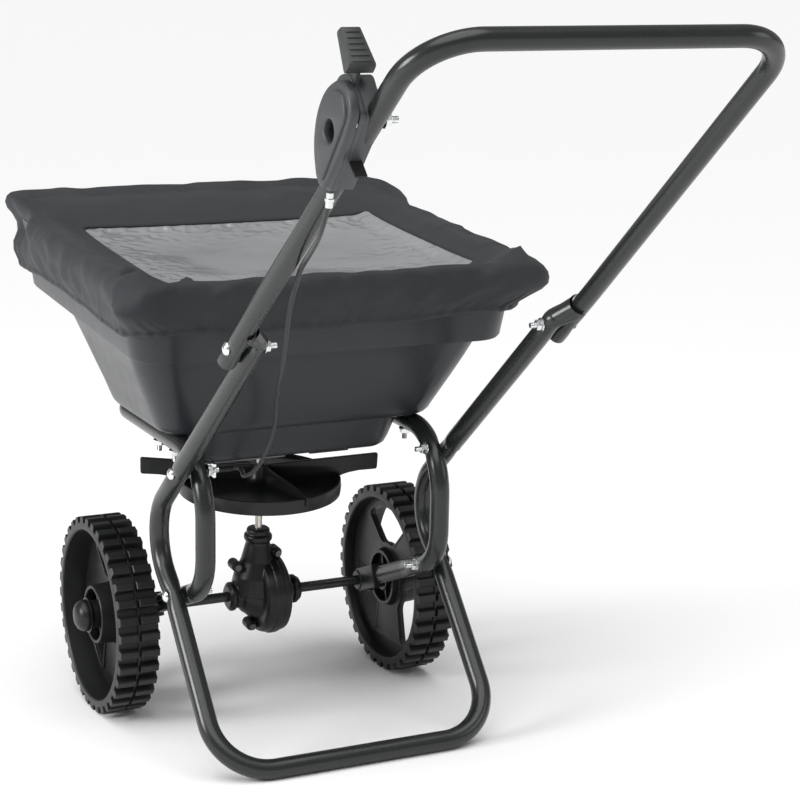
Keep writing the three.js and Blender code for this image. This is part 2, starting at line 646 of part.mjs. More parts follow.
const HOPPER_LEVELS = [
  { z: FLOOR_Z, half: 108, rear: -98, front: 66, radius: 20, frontRadius: 22 },
  { z: FLOOR_Z + 8, half: 121, rear: -111, front: 76, radius: 30, frontRadius: 32 },
  { z: LEDGE_Z, half: 129.5, rear: -122, front: 82, radius: 34, frontRadius: 36, tilt: LEDGE_TILT },
  { z: LEDGE_Z, half: 158, rear: -126, front: 92, radius: 34, frontRadius: 54, tilt: LEDGE_TILT },
  { z: LEDGE_Z + 12, half: 168, rear: -135, front: 102, radius: 40, frontRadius: 64, tilt: LEDGE_TILT },
  { z: EAR_Z, half: 211, rear: -168, front: 150, radius: 44, frontRadius: 85 },
  { z: EAR_Z, half: 219, rear: -196, front: 222, radius: 40 },
  { z: RIM_Z, half: 231, rear: -204, front: 230, radius: 44 },
];

function hopperSolid() {
  const outer = stack(HOPPER_LEVELS.map((level) => ring(level)));
  const inner = HOPPER_LEVELS.map((level, i) => {
    const lift = i === 0 || i === 3 || i === 6 ? WALL : 0;
    const z = level.z + (i === 2 ? WALL : lift) + (i === 5 ? WALL : 0);
    return ring({ ...level, z: i === HOPPER_LEVELS.length - 1 ? z + 1 : z }, WALL);
  });
  const outlet = box(OUTLET.x - OUTLET.width / 2, OUTLET.x + OUTLET.width / 2, OUTLET.y - OUTLET.depth / 2,
    OUTLET.y + OUTLET.depth / 2, FLOOR_Z - 5, FLOOR_Z + 20);
  const bushHole = barZ(9 + GAP, FLOOR_Z - 5, FLOOR_Z + 20, 0, 0, 18);
  const boltHoles = hopperBoltPlaces().map(({ x, y }) => barZ(BOLT_RADIUS + GAP, LEDGE_Z - 12, LEDGE_Z + 25, x, y,
    10));
  return cut(outer, stack(inner), outlet, bushHole, ...boltHoles);
}

function addHopper() {
  part('hopper', hopperSolid(), hopperPlastic(), leaning);
  const bushing = cut(join(barZ(9, FLOOR_Z - 4, FLOOR_Z + 8, 0, 0, 16),
    barZ(13, FLOOR_Z + WALL + GAP, FLOOR_Z + 6, 0, 0, 16)), barZ(SHAFT_RADIUS + GAP, 190, 230, 0, 0, 12));
  part('hopper_bushing', bushing, blackPlastic(), leaning);
  for (const { name, x, y } of hopperBoltPlaces()) {
    const head = ledgeAt(y) + WALL + 3 * GAP;
    const under = railAt(y) - FRAME_RADIUS - 3 * GAP;
    const profile = [
      [0, under - 22], [BOLT_RADIUS, under - 22], [BOLT_RADIUS, under - 5], [5.8, under - 5], [5.8, under],
      [BOLT_RADIUS, under], [BOLT_RADIUS, head], [6.5, head], [5.8, head + 2.6], [0, head + 3.6],
    ];
    part(name, latheZ(profile, 8).translate(x, y, 0), zinc(), leaning);
  }
}

const COVER_OUT = 6;              // how far the hem stands off the band
const COVER_BULGE = 20;           // how far the fabric's widest line stands off the rim
const COVER_IN = 1.6;
const HEM_Z = 378;
const COVER_TOP = RIM_Z + 10;
const WINDOW = { half: 188, rear: -130, front: 152, radius: 12 };

function coverSolid() {
  const rim = HOPPER_LEVELS[HOPPER_LEVELS.length - 1];
  const grown = (z, grow, radius) => ring({ z, half: rim.half + grow, rear: rim.rear - grow, front: rim.front + grow,
    radius });
  const outer = stack([grown(HEM_Z, COVER_OUT, 46), grown(HEM_Z + 22, COVER_BULGE - 4, 40),
    grown(RIM_Z, COVER_BULGE, 34), grown(COVER_TOP, COVER_OUT + 4, 40)]);
  const inner = stack([grown(HEM_Z - 5, COVER_IN, 45), grown(RIM_Z + 2, COVER_IN, 45)]);
  const raised = stack([grown(RIM_Z + 1, -12, 40), grown(COVER_TOP - 2, -14, 40)]);
  const opening = stack([ring({ ...WINDOW, z: RIM_Z - 4 }), ring({ ...WINDOW, z: COVER_TOP + 5 })]);
  return cut(outer, inner, raised, opening);
}

function addCover() {
  part('cover_fabric', coverSolid(), fabric(), leaning);
  const pane = { ...WINDOW, half: WINDOW.half - GAP, rear: WINDOW.rear + GAP, front: WINDOW.front - GAP };
  const window = stack([ring({ ...pane, z: COVER_TOP - 3 }), ring({ ...pane, z: COVER_TOP - 1 })]);
  part('cover_window', window, clearFilm(), leaning);
}

// ---------------------------------------------------------------- shutter under the hopper
const TAB_X = -129;               // the tab that the inner wire pulls, with the shutter closed
const TAB_WIDTH = 6;
const BRACKET_X = -100;
const FERRULE_LENGTH = 24;

function addShutter() {
  const top = GATE_Z + GATE_THICKNESS;
  const halfDepth = OUTLET.depth / 2 + 4;
  const plate = box(-14, 52, OUTLET.y - halfDepth, OUTLET.y + halfDepth, GATE_Z, top);
  const arm = box(TAB_X, -10, OUTLET.y - halfDepth - 12, OUTLET.y - halfDepth + 2, GATE_Z, top);
  const tab = box(TAB_X, TAB_X + 2.5, CABLE_Y - 5, OUTLET.y - halfDepth + 2, CABLE_Z - 5, top);
  const wireHole = barX(1 + GAP, TAB_X - 5, TAB_X + 8, CABLE_Y, CABLE_Z, 8);
  const wideTab = join(plate, arm, tab, box(TAB_X, TAB_X + TAB_WIDTH, CABLE_Y - 5, OUTLET.y - halfDepth + 2, GATE_Z, top));
  part('shutter_plate', cut(wideTab, wireHole), steel(), leaning);

  const wire = join(barX(1, TAB_X - 4, BRACKET_X + 2.2, CABLE_Y, CABLE_Z, 8),
    barX(2.6, TAB_X - 4, TAB_X - GAP, CABLE_Y, CABLE_Z, 10));
  part('shutter_wire', wire, steel(), leaning);

  for (const [end, sign] of [['rear', -1], ['front', 1]]) {
    const edge = OUTLET.y + sign * (halfDepth + GAP);
    const past = edge + sign * 5;
    const wall = box(24, 72, Math.min(edge, past), Math.max(edge, past), GATE_Z - 2, FLOOR_Z - GAP);
    const lip = box(24, 72, Math.min(edge - sign * 4, past), Math.max(edge - sign * 4, past), GATE_Z - 2.4,
      GATE_Z - GAP);
    part(`shutter_guide_${end}`, join(wall, lip), blackPlastic(), leaning);
  }

  const plateZ = [CABLE_Z - 7, FLOOR_Z - GAP];
  const bracket = join(box(BRACKET_X, BRACKET_X + 2.5, CABLE_Y - 6, CABLE_Y + 16, ...plateZ),
    box(BRACKET_X, BRACKET_X + 16, CABLE_Y + 6, CABLE_Y + 16, FLOOR_Z - 2.4, FLOOR_Z - GAP));
  const armSlot = box(BRACKET_X - 1, BRACKET_X + 20, OUTLET.y - halfDepth - 13, OUTLET.y, GATE_Z - 1, top + 0.35);
  const bracketHole = barX(3.4 + GAP, BRACKET_X - 5, BRACKET_X + 8, CABLE_Y, CABLE_Z, 12);
  part('cable_bracket', cut(bracket, bracketHole, armSlot), zinc(), leaning);

  const ferrule = cut(barX(3.4, BRACKET_X - 2, BRACKET_X + FERRULE_LENGTH, CABLE_Y, CABLE_Z, 12),
    barX(1 + GAP, BRACKET_X - 5, BRACKET_X + FERRULE_LENGTH - 1.2, CABLE_Y, CABLE_Z, 8));
  part('cable_ferrule', ferrule, blackPlastic(), leaning);
}

// ---------------------------------------------------------------- lever control on the handle
const CLAMP_ALONG = 384;          // along the handle from its joint bolt to the control's clamp bolt

function controlPoint(distance) {
  return alongHandle(distance);
}

function roundedOutline(points, radius) {
  const shape = new THREE.Shape();
  const count = points.length;
  for (let i = 0; i < count; i += 1) {
    const here = new THREE.Vector2(...points[i]);
    const before = new THREE.Vector2(...points[(i + count - 1) % count]).sub(here);
    const after = new THREE.Vector2(...points[(i + 1) % count]).sub(here);
    const reach = Math.min(radius, before.length() / 2.2, after.length() / 2.2);
    const enter = here.clone().add(before.setLength(reach));
    const leave = here.clone().add(after.setLength(reach));
    if (i === 0) {
      shape.moveTo(enter.x, enter.y);
    } else {
      shape.lineTo(enter.x, enter.y);
    }
    shape.quadraticCurveTo(here.x, here.y, leave.x, leave.y);
  }
  shape.closePath();
  return shape;
}

// The outer cover's outline round the lever pivot: a round head over a tail that points down the cable.
const COVER_OUTLINE = [[-704, 758], [-676, 749], [-657, 727], [-650, 700], [-656, 672], [-668, 662], [-692, 684],
  [-716, 710], [-730, 732], [-722, 750]];
const BODY_OUTLINE = [[-705, 762], [-684, 760], [-658, 736], [-645, 700], [-650, 667], [-662, 659], [-728, 728]];
const HUB_RADIUS = 14;            // the lever's round end, inside the control

function shrunk(points, inset) {
  return points.map(([y, z]) => {
    const away = new THREE.Vector2(y, z).sub(LEVER_PIVOT);
    return away.setLength(away.length() - inset).add(LEVER_PIVOT).toArray();
  });
}

// The room that the lever's round end and stem need as it swings, with its open mouth on top.
const STEM_ROOM = [[-702, 712], [-724, 774], [-714, 786], [-630, 786], [-630, 700], [-684, 702]];

function addControl() {
  const split = CONTROL_SPLIT_X;
  const outerX = CONTROL_OUTER_X;
  const clamp = controlPoint(CLAMP_ALONG);
  const pinHole = barX(BOLT_RADIUS + GAP, outerX - 5, CONTROL_INNER_X - 10, LEVER_PIVOT.x, LEVER_PIVOT.y, 8);
  const hubRoom = barX(HUB_RADIUS + 1.2, split - 2, split + 5.6, LEVER_PIVOT.x, LEVER_PIVOT.y, 20);
  const stemRoom = plateX(roundedOutline(STEM_ROOM, 2), LEVER_X - 2.6, LEVER_X + 2.6, 2);
  const cableWay = barZ(CABLE_RADIUS + 0.8, 640, 700, LEVER_X, -657, 10);

  const shell = plateX(roundedOutline(COVER_OUTLINE, 12), outerX, split - GAP, 3);
  const shellRoom = plateX(roundedOutline(shrunk(COVER_OUTLINE, 4), 10), outerX + 3, split + 1, 2);
  const eye = barX(10, outerX - 5, outerX + 5, LEVER_PIVOT.x, LEVER_PIVOT.y, 18);
  part('control_cover', cut(shell, shellRoom, eye), greyPlastic());

  const channelEnds = [300, 470].map((distance) => [-handleXAt(distance), ...alongHandle(distance).toArray(), 0]);
  const channel = tubeAlong(tubeLine(channelEnds), HANDLE_RADIUS + GAP, 0);
  const body = plateX(roundedOutline(BODY_OUTLINE, 7), split, CONTROL_INNER_X, 2);
  const clampHole = barX(BOLT_RADIUS + GAP, -220, -150, clamp.x, clamp.y, 12);
  part('control_body', cut(body, hubRoom, stemRoom, channel, clampHole, pinHole, cableWay), greyPlastic());

  const pinEnd = split + 6.8;
  const pivot = latheX([[split - 3.5, 0], [split - 3.5, 6], [LEVER_X - 2 - GAP, 6], [LEVER_X - 2 - GAP, BOLT_RADIUS],
    [pinEnd, BOLT_RADIUS], [pinEnd, 0]], 12);
  part('lever_pivot_pin', pivot.translate(0, LEVER_PIVOT.x, LEVER_PIVOT.y), zinc());

  const nutSeat = -handleXAt(CLAMP_ALONG) + HANDLE_RADIUS + GAP;
  const bolt = latheX([[split - 5, 0], [split - 5, 6], [split - GAP, 6], [split - GAP, BOLT_RADIUS],
    [nutSeat, BOLT_RADIUS], [nutSeat, 5.8], [nutSeat + 5.5, 5.8], [nutSeat + 5.5, BOLT_RADIUS],
    [nutSeat + 15, BOLT_RADIUS], [nutSeat + 15, 0]], 12);
  part('control_clamp_bolt', bolt.translate(0, clamp.x, clamp.y), zinc());
  addLever(pinHole);
}

function addLever(pinHole) {
  const hub = barX(HUB_RADIUS, LEVER_X - 2, LEVER_X + 2, LEVER_PIVOT.x, LEVER_PIVOT.y, 24);
  const stem = plateX(roundedOutline([[-700, 722], [-717, 768], [-704, 772], [-680, 722]], 3), LEVER_X - 2,
    LEVER_X + 2, 3);
  const low = 12.8;
  const high = 8.2;
  const grip = plateX(roundedOutline([[-716, 761], [-725, 769], [-701, 800], [-692, 795]], 3), LEVER_X - low,
    LEVER_X + low, 3);
  const tapered = (side) => {
    const wedge = box(0, 30, -60, 60, -20, 60).rotateY(side * Math.atan2(low - high, 35));
    return wedge.rotateZ(side > 0 ? 0 : Math.PI).translate(LEVER_X + side * low, -710, 765);
  };
  const gripEnd = cut(grip, tapered(-1), tapered(1));
  part('control_lever', cut(join(hub, stem, gripEnd), pinHole), blackPlastic());
}

// The control cable hangs from the lever control behind the hopper and loops under it to the shutter.
const CABLE_POINTS = [
  [LEVER_X, -657, 656], [-193.6, -650, 644], [-193, -634, 622], [-188, -604, 604], [-180, -570, 590],
  [-170, -536, 577], [-157, -496, 558], [-143, -453, 538], [-127, -406, 511], [-108, -353, 476],
  [-92, -305, 441], [-74, -250, 405], [-58, -206, 372], [-54, -180, 340], [-60, -158, 308], [-69, -141, 295],
];

function addCable() {
  const ferruleEnd = fromLeaning(CABLE_Y, CABLE_Z);
  const points = CABLE_POINTS.map(([x, y, z]) => new THREE.Vector3(x, y, z));
  const ferruleX = BRACKET_X + FERRULE_LENGTH + GAP;
  points.push(new THREE.Vector3(ferruleX + 9, ferruleEnd.x - 4, ferruleEnd.y - 1.5));
  points.push(new THREE.Vector3(ferruleX + 3.5, ferruleEnd.x, ferruleEnd.y));
  points.push(new THREE.Vector3(ferruleX, ferruleEnd.x, ferruleEnd.y));
  const route = new THREE.CatmullRomCurve3(points, false, 'centripetal');
  const shape = new THREE.Shape();
  shape.absarc(0, 0, CABLE_RADIUS, 0, 2 * Math.PI);
  const cable = new THREE.ExtrudeGeometry(shape, {
    steps: 48, extrudePath: route, bevelEnabled: false, curveSegments: 4,
  });
  part('control_cable', cable, blackPlastic());
}

addFrame();
addCrossBolts();
addBearings();
addWheels();
addGearbox();
addSpinner();
addHopper();
addShutter();
addControl();
addCable();
addCover();

export default machine;
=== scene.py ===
"""Looks for the walk-behind spreader: smooth bent tubes, moulded plastic, bolts and a loose rain cover."""
import json
import math

import bmesh
import bpy
import numpy as np
from mathutils import Matrix, Vector, noise


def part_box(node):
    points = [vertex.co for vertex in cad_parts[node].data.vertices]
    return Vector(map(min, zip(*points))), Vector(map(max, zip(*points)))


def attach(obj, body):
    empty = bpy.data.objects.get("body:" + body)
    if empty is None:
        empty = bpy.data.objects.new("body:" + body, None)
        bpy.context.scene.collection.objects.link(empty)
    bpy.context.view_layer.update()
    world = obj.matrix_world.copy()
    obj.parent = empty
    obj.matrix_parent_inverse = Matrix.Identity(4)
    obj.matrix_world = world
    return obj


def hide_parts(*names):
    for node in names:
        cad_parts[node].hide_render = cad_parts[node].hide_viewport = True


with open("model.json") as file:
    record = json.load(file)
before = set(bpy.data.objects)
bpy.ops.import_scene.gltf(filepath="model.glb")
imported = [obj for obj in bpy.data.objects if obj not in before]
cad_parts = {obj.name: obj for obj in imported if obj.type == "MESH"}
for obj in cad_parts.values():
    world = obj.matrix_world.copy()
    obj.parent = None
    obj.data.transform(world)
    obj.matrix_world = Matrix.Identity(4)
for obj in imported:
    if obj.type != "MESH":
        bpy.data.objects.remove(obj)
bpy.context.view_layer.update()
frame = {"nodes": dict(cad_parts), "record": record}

# ------------------------------------------------------------------ places, in millimetres
# A point is (y, z), from the axle's middle line and the ground. The handle is measured from its joint.
MM = 0.001
axle_low, axle_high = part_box("axle")
AXLE_Y = (axle_low.y + axle_high.y) / 2 / MM
AXLE_Z = (axle_low.z + axle_high.z) / 2 / MM
LEAN = math.radians(6)
MACHINE = Matrix.Scale(MM, 4) @ Matrix.Translation((0, AXLE_Y, 0))
ON_AXLE = MACHINE @ Matrix.Translation((0, 0, AXLE_Z))
LEANING = ON_AXLE @ Matrix.Rotation(LEAN, 4, "X")

WHEEL_RADIUS = 115
WHEEL_X = 186
TUBE = 11
FRAME_X = 164
SUPPORT_X = 141.7
HANDLE_TUBE = 10
HANDLE_X = 185.3
CROSS_LOW = (-164, 174.7)
CROSS_HIGH = (-189.5, 317.2)
HANDLE_JOINT = (-410.3, 488.3)
HANDLE_TOP = (-800.5, 790.6)
STAND_FOOT = (-301.5, 10.7)
PIVOT = (-689, 714)
GRIP_X = 178
RAIL_Z = 228.5
LEDGE_Z = 240
LEDGE_TILT = 0.06
LEVER_X = -194
CLAMP_ALONG = 384
STRAIGHT = 60
ARM_END = 38
CUP_FROM, CUP_TO = 9, 33
BORE_SHARE = 0.86


# ------------------------------------------------------------------ materials
def socket(shader, name, value):
    shader.inputs[name].default_value = value


def surface(name, color, roughness, metallic=0.0, grain=400.0, bump=0.02, vary=0.08, shade=0.12,
            coat=0.0, weave=0.0, sheen=0.0, specular=0.5):
    """A procedural finish: fine grain in the bump, and slow changes of roughness and shade."""
    made = bpy.data.materials.new(name)
    made.use_nodes = True
    nodes, links = made.node_tree.nodes, made.node_tree.links
    shader = nodes["Principled BSDF"]
    socket(shader, "Metallic", metallic)
    socket(shader, "Coat Weight", coat)
    socket(shader, "Coat Roughness", 0.18)
    socket(shader, "Sheen Weight", sheen)
    socket(shader, "Specular IOR Level", specular)
    place = nodes.new("ShaderNodeTexCoord")
    slow = nodes.new("ShaderNodeTexNoise")
    slow.inputs["Scale"].default_value = 9.0
    slow.inputs["Detail"].default_value = 5.0
    links.new(place.outputs["Object"], slow.inputs["Vector"])
    mix = nodes.new("ShaderNodeMix")
    mix.data_type = "RGBA"
    mix.inputs["A"].default_value = (*[c * (1 - shade) for c in color], 1)
    mix.inputs["B"].default_value = (*[min(1, c * (1 + shade)) for c in color], 1)
    links.new(slow.outputs["Fac"], mix.inputs["Factor"])
    links.new(mix.outputs["Result"], shader.inputs["Base Color"])
    spread = nodes.new("ShaderNodeMapRange")
    spread.inputs["To Min"].default_value = max(0.03, roughness - vary)
    spread.inputs["To Max"].default_value = min(1, roughness + vary)
    middle = nodes.new("ShaderNodeTexNoise")
    middle.inputs["Scale"].default_value = 55.0
    middle.inputs["Detail"].default_value = 6.0
    links.new(place.outputs["Object"], middle.inputs["Vector"])
    links.new(middle.outputs["Fac"], spread.inputs["Value"])
    links.new(spread.outputs["Result"], shader.inputs["Roughness"])
    fine = nodes.new("ShaderNodeTexNoise")
    fine.inputs["Scale"].default_value = grain
    fine.inputs["Detail"].default_value = 2.0
    links.new(place.outputs["Object"], fine.inputs["Vector"])
    height = fine.outputs["Fac"]
    if weave:
        height = woven(nodes, links, place, weave, height)
    relief = nodes.new("ShaderNodeBump")
    relief.inputs["Strength"].default_value = 1.0
    relief.inputs["Distance"].default_value = bump * MM
    links.new(height, relief.inputs["Height"])
    links.new(relief.outputs["Normal"], shader.inputs["Normal"])
    return made


def woven(nodes, links, place, pitch, height):
    """Adds warp and weft ridges to a height."""
    total = height
    for turn in (0.0, math.pi / 2):
        turned = nodes.new("ShaderNodeMapping")
        turned.inputs["Rotation"].default_value = (0.3, 0.2, turn)
        links.new(place.outputs["Object"], turned.inputs["Vector"])
        wave = nodes.new("ShaderNodeTexWave")
        wave.inputs["Scale"].default_value = pitch
        wave.inputs["Distortion"].default_value = 0.6
        links.new(turned.outputs["Vector"], wave.inputs["Vector"])
        add = nodes.new("ShaderNodeMath")
        add.operation = "ADD"
        links.new(total, add.inputs[0])
        links.new(wave.outputs["Fac"], add.inputs[1])
        total = add.outputs[0]
    return total


PAINT = surface("powder_coat", (0.014, 0.0155, 0.0155), 0.27, 0.0,
                grain=900, bump=0.012, vary=0.06, coat=0.15, specular=0.45)
HOPPER = surface("hopper_plastic", (0.0185, 0.0205, 0.0245), 0.34,
                 grain=1500, bump=0.03, vary=0.06, specular=0.4)
BLACK = surface("black_plastic", (0.0065, 0.007, 0.0075), 0.36,
                grain=1300, bump=0.03, vary=0.07, specular=0.4)
TREAD = surface("wheel_plastic", (0.010, 0.0105, 0.011), 0.42, grain=1100, bump=0.04, vary=0.08, specular=0.4)
GREY = surface("control_plastic", (0.045, 0.048, 0.052), 0.42, grain=1400, bump=0.03)
LEVER = surface("lever_plastic", (0.038, 0.041, 0.040), 0.5, grain=1400, bump=0.04)
CABLE = surface("cable_sheath", (0.030, 0.031, 0.031), 0.32, grain=900, bump=0.01)
ZINC = surface("zinc", (0.78, 0.79, 0.80), 0.24, 1.0, grain=700, bump=0.01, vary=0.08)
STEEL = surface("steel", (0.60, 0.58, 0.52), 0.28, 1.0, grain=600, bump=0.01, vary=0.08)
CLOTH = surface("cover_cloth", (0.0205, 0.0225, 0.0265), 0.56,
                grain=2500, bump=0.05, vary=0.06, weave=1100, sheen=0.06, specular=0.35)
FILM = surface("clear_film", (0.25, 0.256, 0.264), 0.13, grain=60, bump=0.3, vary=0.05, shade=0.22, coat=0.4)
# A metal far darker than any real steel: painted shade for the gearbox screws and the shutter.
SHADE_DARKENED_METAL = surface("steel_painted_shade", (0.13, 0.13, 0.13), 0.45, 1.0, grain=600, bump=0.01, vary=0.08)
# Near black: painted shade for the shadowed inside of the control's slot.
SLOT_SHADE = surface("slot_painted_shade", (0.008, 0.008, 0.008), 0.7, grain=500, bump=0.01)


# ------------------------------------------------------------------ mesh helpers
class Shape:
    """Points and faces collected in millimetres."""

    def __init__(self):
        self.points, self.faces = [], []

    def add(self, points, faces, move=None):
        start = len(self.points)
        self.points += [tuple(move @ Vector(p)) if move else tuple(p) for p in points]
        self.faces += [tuple(i + start for i in face) for face in faces]
        return self

    def part(self, other, move=None):
        return self.add(other.points, other.faces, move)


def make(name, shape, place, material, body, replaces=(), slot=None, sharp=38, bevel=0.0):
    mesh = bpy.data.meshes.new(name)
    mesh.from_pydata([tuple(place @ Vector(p)) for p in shape.points], [], shape.faces)
    work = bmesh.new()
    work.from_mesh(mesh)
    bmesh.ops.recalc_face_normals(work, faces=work.faces)
    work.to_mesh(mesh)
    work.free()
    made = bpy.data.objects.new(name, mesh)
    bpy.context.scene.collection.objects.link(made)
    if bevel:
        edge = made.modifiers.new("edge", "BEVEL")
        edge.width = bevel * MM
        edge.segments = 2
        edge.limit_method = "ANGLE"
        edge.angle_limit = math.radians(40)
        bake(made)
    for polygon in made.data.polygons:
        polygon.use_smooth = True
    made.data.set_sharp_from_angle(angle=math.radians(sharp))
    made.data.materials.clear()
    made.data.materials.append(material)
    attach(made, body)
    if replaces:
        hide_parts(*replaces)
    return made


def bake(made):
    """Applies a piece's modifiers to its mesh."""
    graph = bpy.context.evaluated_depsgraph_get()
    mesh = bpy.data.meshes.new_from_object(made.evaluated_get(graph))
    made.modifiers.clear()
    made.data = mesh


def moulded(name, shape, place, voxel, *rest, rounds=5, **more):
    """Runs overlapping solids together into one soft-edged moulding."""
    made = make(name, shape, place, *rest, **more)
    grid = made.modifiers.new("grid", "REMESH")
    grid.mode = "VOXEL"
    grid.voxel_size = voxel * MM
    soften = made.modifiers.new("soften", "SMOOTH")
    soften.factor = 0.5
    soften.iterations = rounds
    material = made.data.materials[0]
    bake(made)
    made.data.materials.clear()
    made.data.materials.append(material)
    for polygon in made.data.polygons:
        polygon.use_smooth = True
    return made


def revolve(profile, axis="x", sides=40, closed=False):
    """A body of revolution. The profile is a list of (distance along the axis, radius)."""
    shape = Shape()
    rows = []
    for along, radius in profile:
        if radius < 1e-6:
            shape.points.append((along, 0, 0) if axis == "x" else (0, 0, along))
            rows.append([len(shape.points) - 1] * sides)
            continue
        row = []
        for k in range(sides):
            angle = 2 * math.pi * k / sides
            c, s = radius * math.cos(angle), radius * math.sin(angle)
            shape.points.append((along, c, s) if axis == "x" else (c, s, along))
            row.append(len(shape.points) - 1)
        rows.append(row)
    pairs = list(zip(rows, rows[1:]))
    if closed:
        pairs.append((rows[-1], rows[0]))
    for a, b in pairs:
        for k in range(sides):
            n = (k + 1) % sides
            face = list(dict.fromkeys((a[k], a[n], b[n], b[k])))
            if len(face) > 2:
                shape.faces.append(tuple(face))
    return shape


def bar_profile(radius, low, high, soft):
    """A round bar with softened end edges."""
    return [(low, 0), (low, radius - soft), (low + soft, radius),
            (high - soft, radius), (high, radius - soft), (high, 0)]


def bar_x(radius, x0, x1, y=0.0, z=0.0, sides=28, soft=0.6):
    profile = bar_profile(radius, *sorted((x0, x1)), soft)
    return Shape().part(revolve(profile, "x", sides), Matrix.Translation((0, y, z)))


def bar_z(radius, z0, z1, x=0.0, y=0.0, sides=28, soft=0.6):
    profile = bar_profile(radius, z0, z1, soft)
    return Shape().part(revolve(profile, "z", sides), Matrix.Translation((x, y, 0)))


def block(x0, x1, y0, y1, z0, z1):
    points = [(x, y, z) for x in (x0, x1) for y in (y0, y1) for z in (z0, z1)]
    faces = [(0, 1, 3, 2), (4, 6, 7, 5), (0, 4, 5, 1), (2, 3, 7, 6), (0, 2, 6, 4), (1, 5, 7, 3)]
    return Shape().add(points, faces)


def rounded(points, radius, steps=6):
    """A polygon with its corners rounded."""
    out = []
    count = len(points)
    for i, point in enumerate(points):
        here = Vector(point)
        before = Vector(points[i - 1]) - here
        after = Vector(points[(i + 1) % count]) - here
        reach = min(radius, before.length / 2.1, after.length / 2.1)
        start, end = here + before.normalized() * reach, here + after.normalized() * reach
        for k in range(steps + 1):
            t = k / steps
            out.append(tuple(start * (1 - t) ** 2 + here * 2 * t * (1 - t) + end * t * t))
    return out


def plate(outlines, x0, x1, soft=1.0):
    """Flat outlines in the (Y, Z) plane, the first the outside and the others holes, made solid along X."""
    flat = bpy.data.curves.new("outline", "CURVE")
    flat.dimensions = "2D"
    flat.fill_mode = "BOTH"
    flat.extrude = abs(x1 - x0) / 2 - soft
    flat.bevel_depth = soft
    flat.bevel_resolution = 2
    flat.offset = -soft
    for outline in outlines:
        line = flat.splines.new("POLY")
        line.points.add(len(outline) - 1)
        for point, (y, z) in zip(line.points, outline):
            point.co = (y, z, 0, 1)
        line.use_cyclic_u = True
    holder = bpy.data.objects.new("outline", flat)
    bpy.context.scene.collection.objects.link(holder)
    bpy.context.view_layer.update()
    mesh = bpy.data.meshes.new_from_object(holder.evaluated_get(bpy.context.evaluated_depsgraph_get()))
    work = bmesh.new()
    work.from_mesh(mesh)
    bmesh.ops.remove_doubles(work, verts=work.verts, dist=0.01)
    middle = (x0 + x1) / 2
    shape = Shape().add([(v.co.z + middle, v.co.x, v.co.y) for v in work.verts],
                        [[v.index for v in f.verts] for f in work.faces])
    work.free()
    bpy.data.objects.remove(holder)
    bpy.data.curves.remove(flat)
    bpy.data.meshes.remove(mesh)
    return shape


def bend_line(corners, step=math.radians(5), straight=14.0):
    """Points along a bent bar. corners is a list of (x, y, z, bend radius)."""
    spots = [Vector(c[:3]) for c in corners]
    line = [spots[0]]

    def run_to(target):
        start = line[-1].copy()
        count = max(1, int((target - start).length / straight))
        line.extend(start.lerp(target, (k + 1) / count) for k in range(count))

    for i in range(1, len(corners) - 1):
        before = (spots[i] - spots[i - 1]).normalized()
        after = (spots[i + 1] - spots[i]).normalized()
        turn, radius = before.angle(after), corners[i][3]
        start = spots[i] - before * radius * math.tan(turn / 2)
        inward = (after - before * after.dot(before)).normalized()
        run_to(start)
        count = max(2, math.ceil(turn / step))
        for k in range(1, count + 1):
            angle = turn * k / count
            line.append(start + before * radius * math.sin(angle) + inward * radius * (1 - math.cos(angle)))
    run_to(spots[-1])
    return line


def mouth(shape, row, centre, inward, depth):
    """Rings that turn a tube's end inwards and close it some way down its bore."""
    made = []
    for push, share in ((0.0, BORE_SHARE), (depth, BORE_SHARE), (depth, 0.02)):
        ring_points = [centre + inward * push + (Vector(shape.points[index]) - centre) * share
                       for index in row]
        start = len(shape.points)
        shape.points += [tuple(point) for point in ring_points]
        made.append(list(range(start, start + len(row))))
    return made


def sweep(line, radius, first, sides=28, squeeze=None, depth=24.0):
    """A round tube along points with a hollow mouth at each end. squeeze(point) narrows it across `first`."""
    shape = Shape()
    side = Vector(first)
    rows = []
    count = len(line)
    for i, point in enumerate(line):
        ahead = (line[min(i + 1, count - 1)] - line[max(i - 1, 0)]).normalized()
        side = (side - ahead * side.dot(ahead)).normalized()
        other = ahead.cross(side)
        narrow = squeeze(point) if squeeze else 1.0
        row = []
        for k in range(sides):
            angle = 2 * math.pi * k / sides
            spot = point + side * math.cos(angle) * radius * narrow + other * math.sin(angle) * radius
            shape.points.append(tuple(spot))
            row.append(len(shape.points) - 1)
        rows.append(row)
    if depth:
        start = mouth(shape, rows[0], line[0], (line[1] - line[0]).normalized(), depth)
        end = mouth(shape, rows[-1], line[-1], (line[-2] - line[-1]).normalized(), depth)
        rows = start[::-1] + rows + end
    for a, b in zip(rows, rows[1:]):
        for k in range(sides):
            n = (k + 1) % sides
            shape.faces.append((a[k], a[n], b[n], b[k]))
    return shape


# ------------------------------------------------------------------ frame tubes
slope = Vector((HANDLE_TOP[0] - HANDLE_JOINT[0], HANDLE_TOP[1] - HANDLE_JOINT[1])).normalized()


def along_handle(distance):
    return Vector(HANDLE_JOINT) + slope * distance


def line_height(a, b, y):
    return a[1] + (b[1] - a[1]) * (y - a[0]) / (b[0] - a[0])


def from_leaning(y, z):
    """A point of the leaning frame as (y, z) of the machine."""
    return Vector((y * math.cos(LEAN) - z * math.sin(LEAN), y * math.sin(LEAN) + z * math.cos(LEAN) + AXLE_Z))


def rail_at(y):
    """The height of the support tube's rails, in the leaning frame."""
    return RAIL_Z - LEDGE_TILT * y


def handle_x(distance):
    """Half the handle's width at a distance along it from the joint bolt."""
    whole = math.dist(HANDLE_TOP, HANDLE_JOINT)
    return HANDLE_X + (GRIP_X - HANDLE_X) * max(0, (distance - STRAIGHT) / (whole - STRAIGHT))


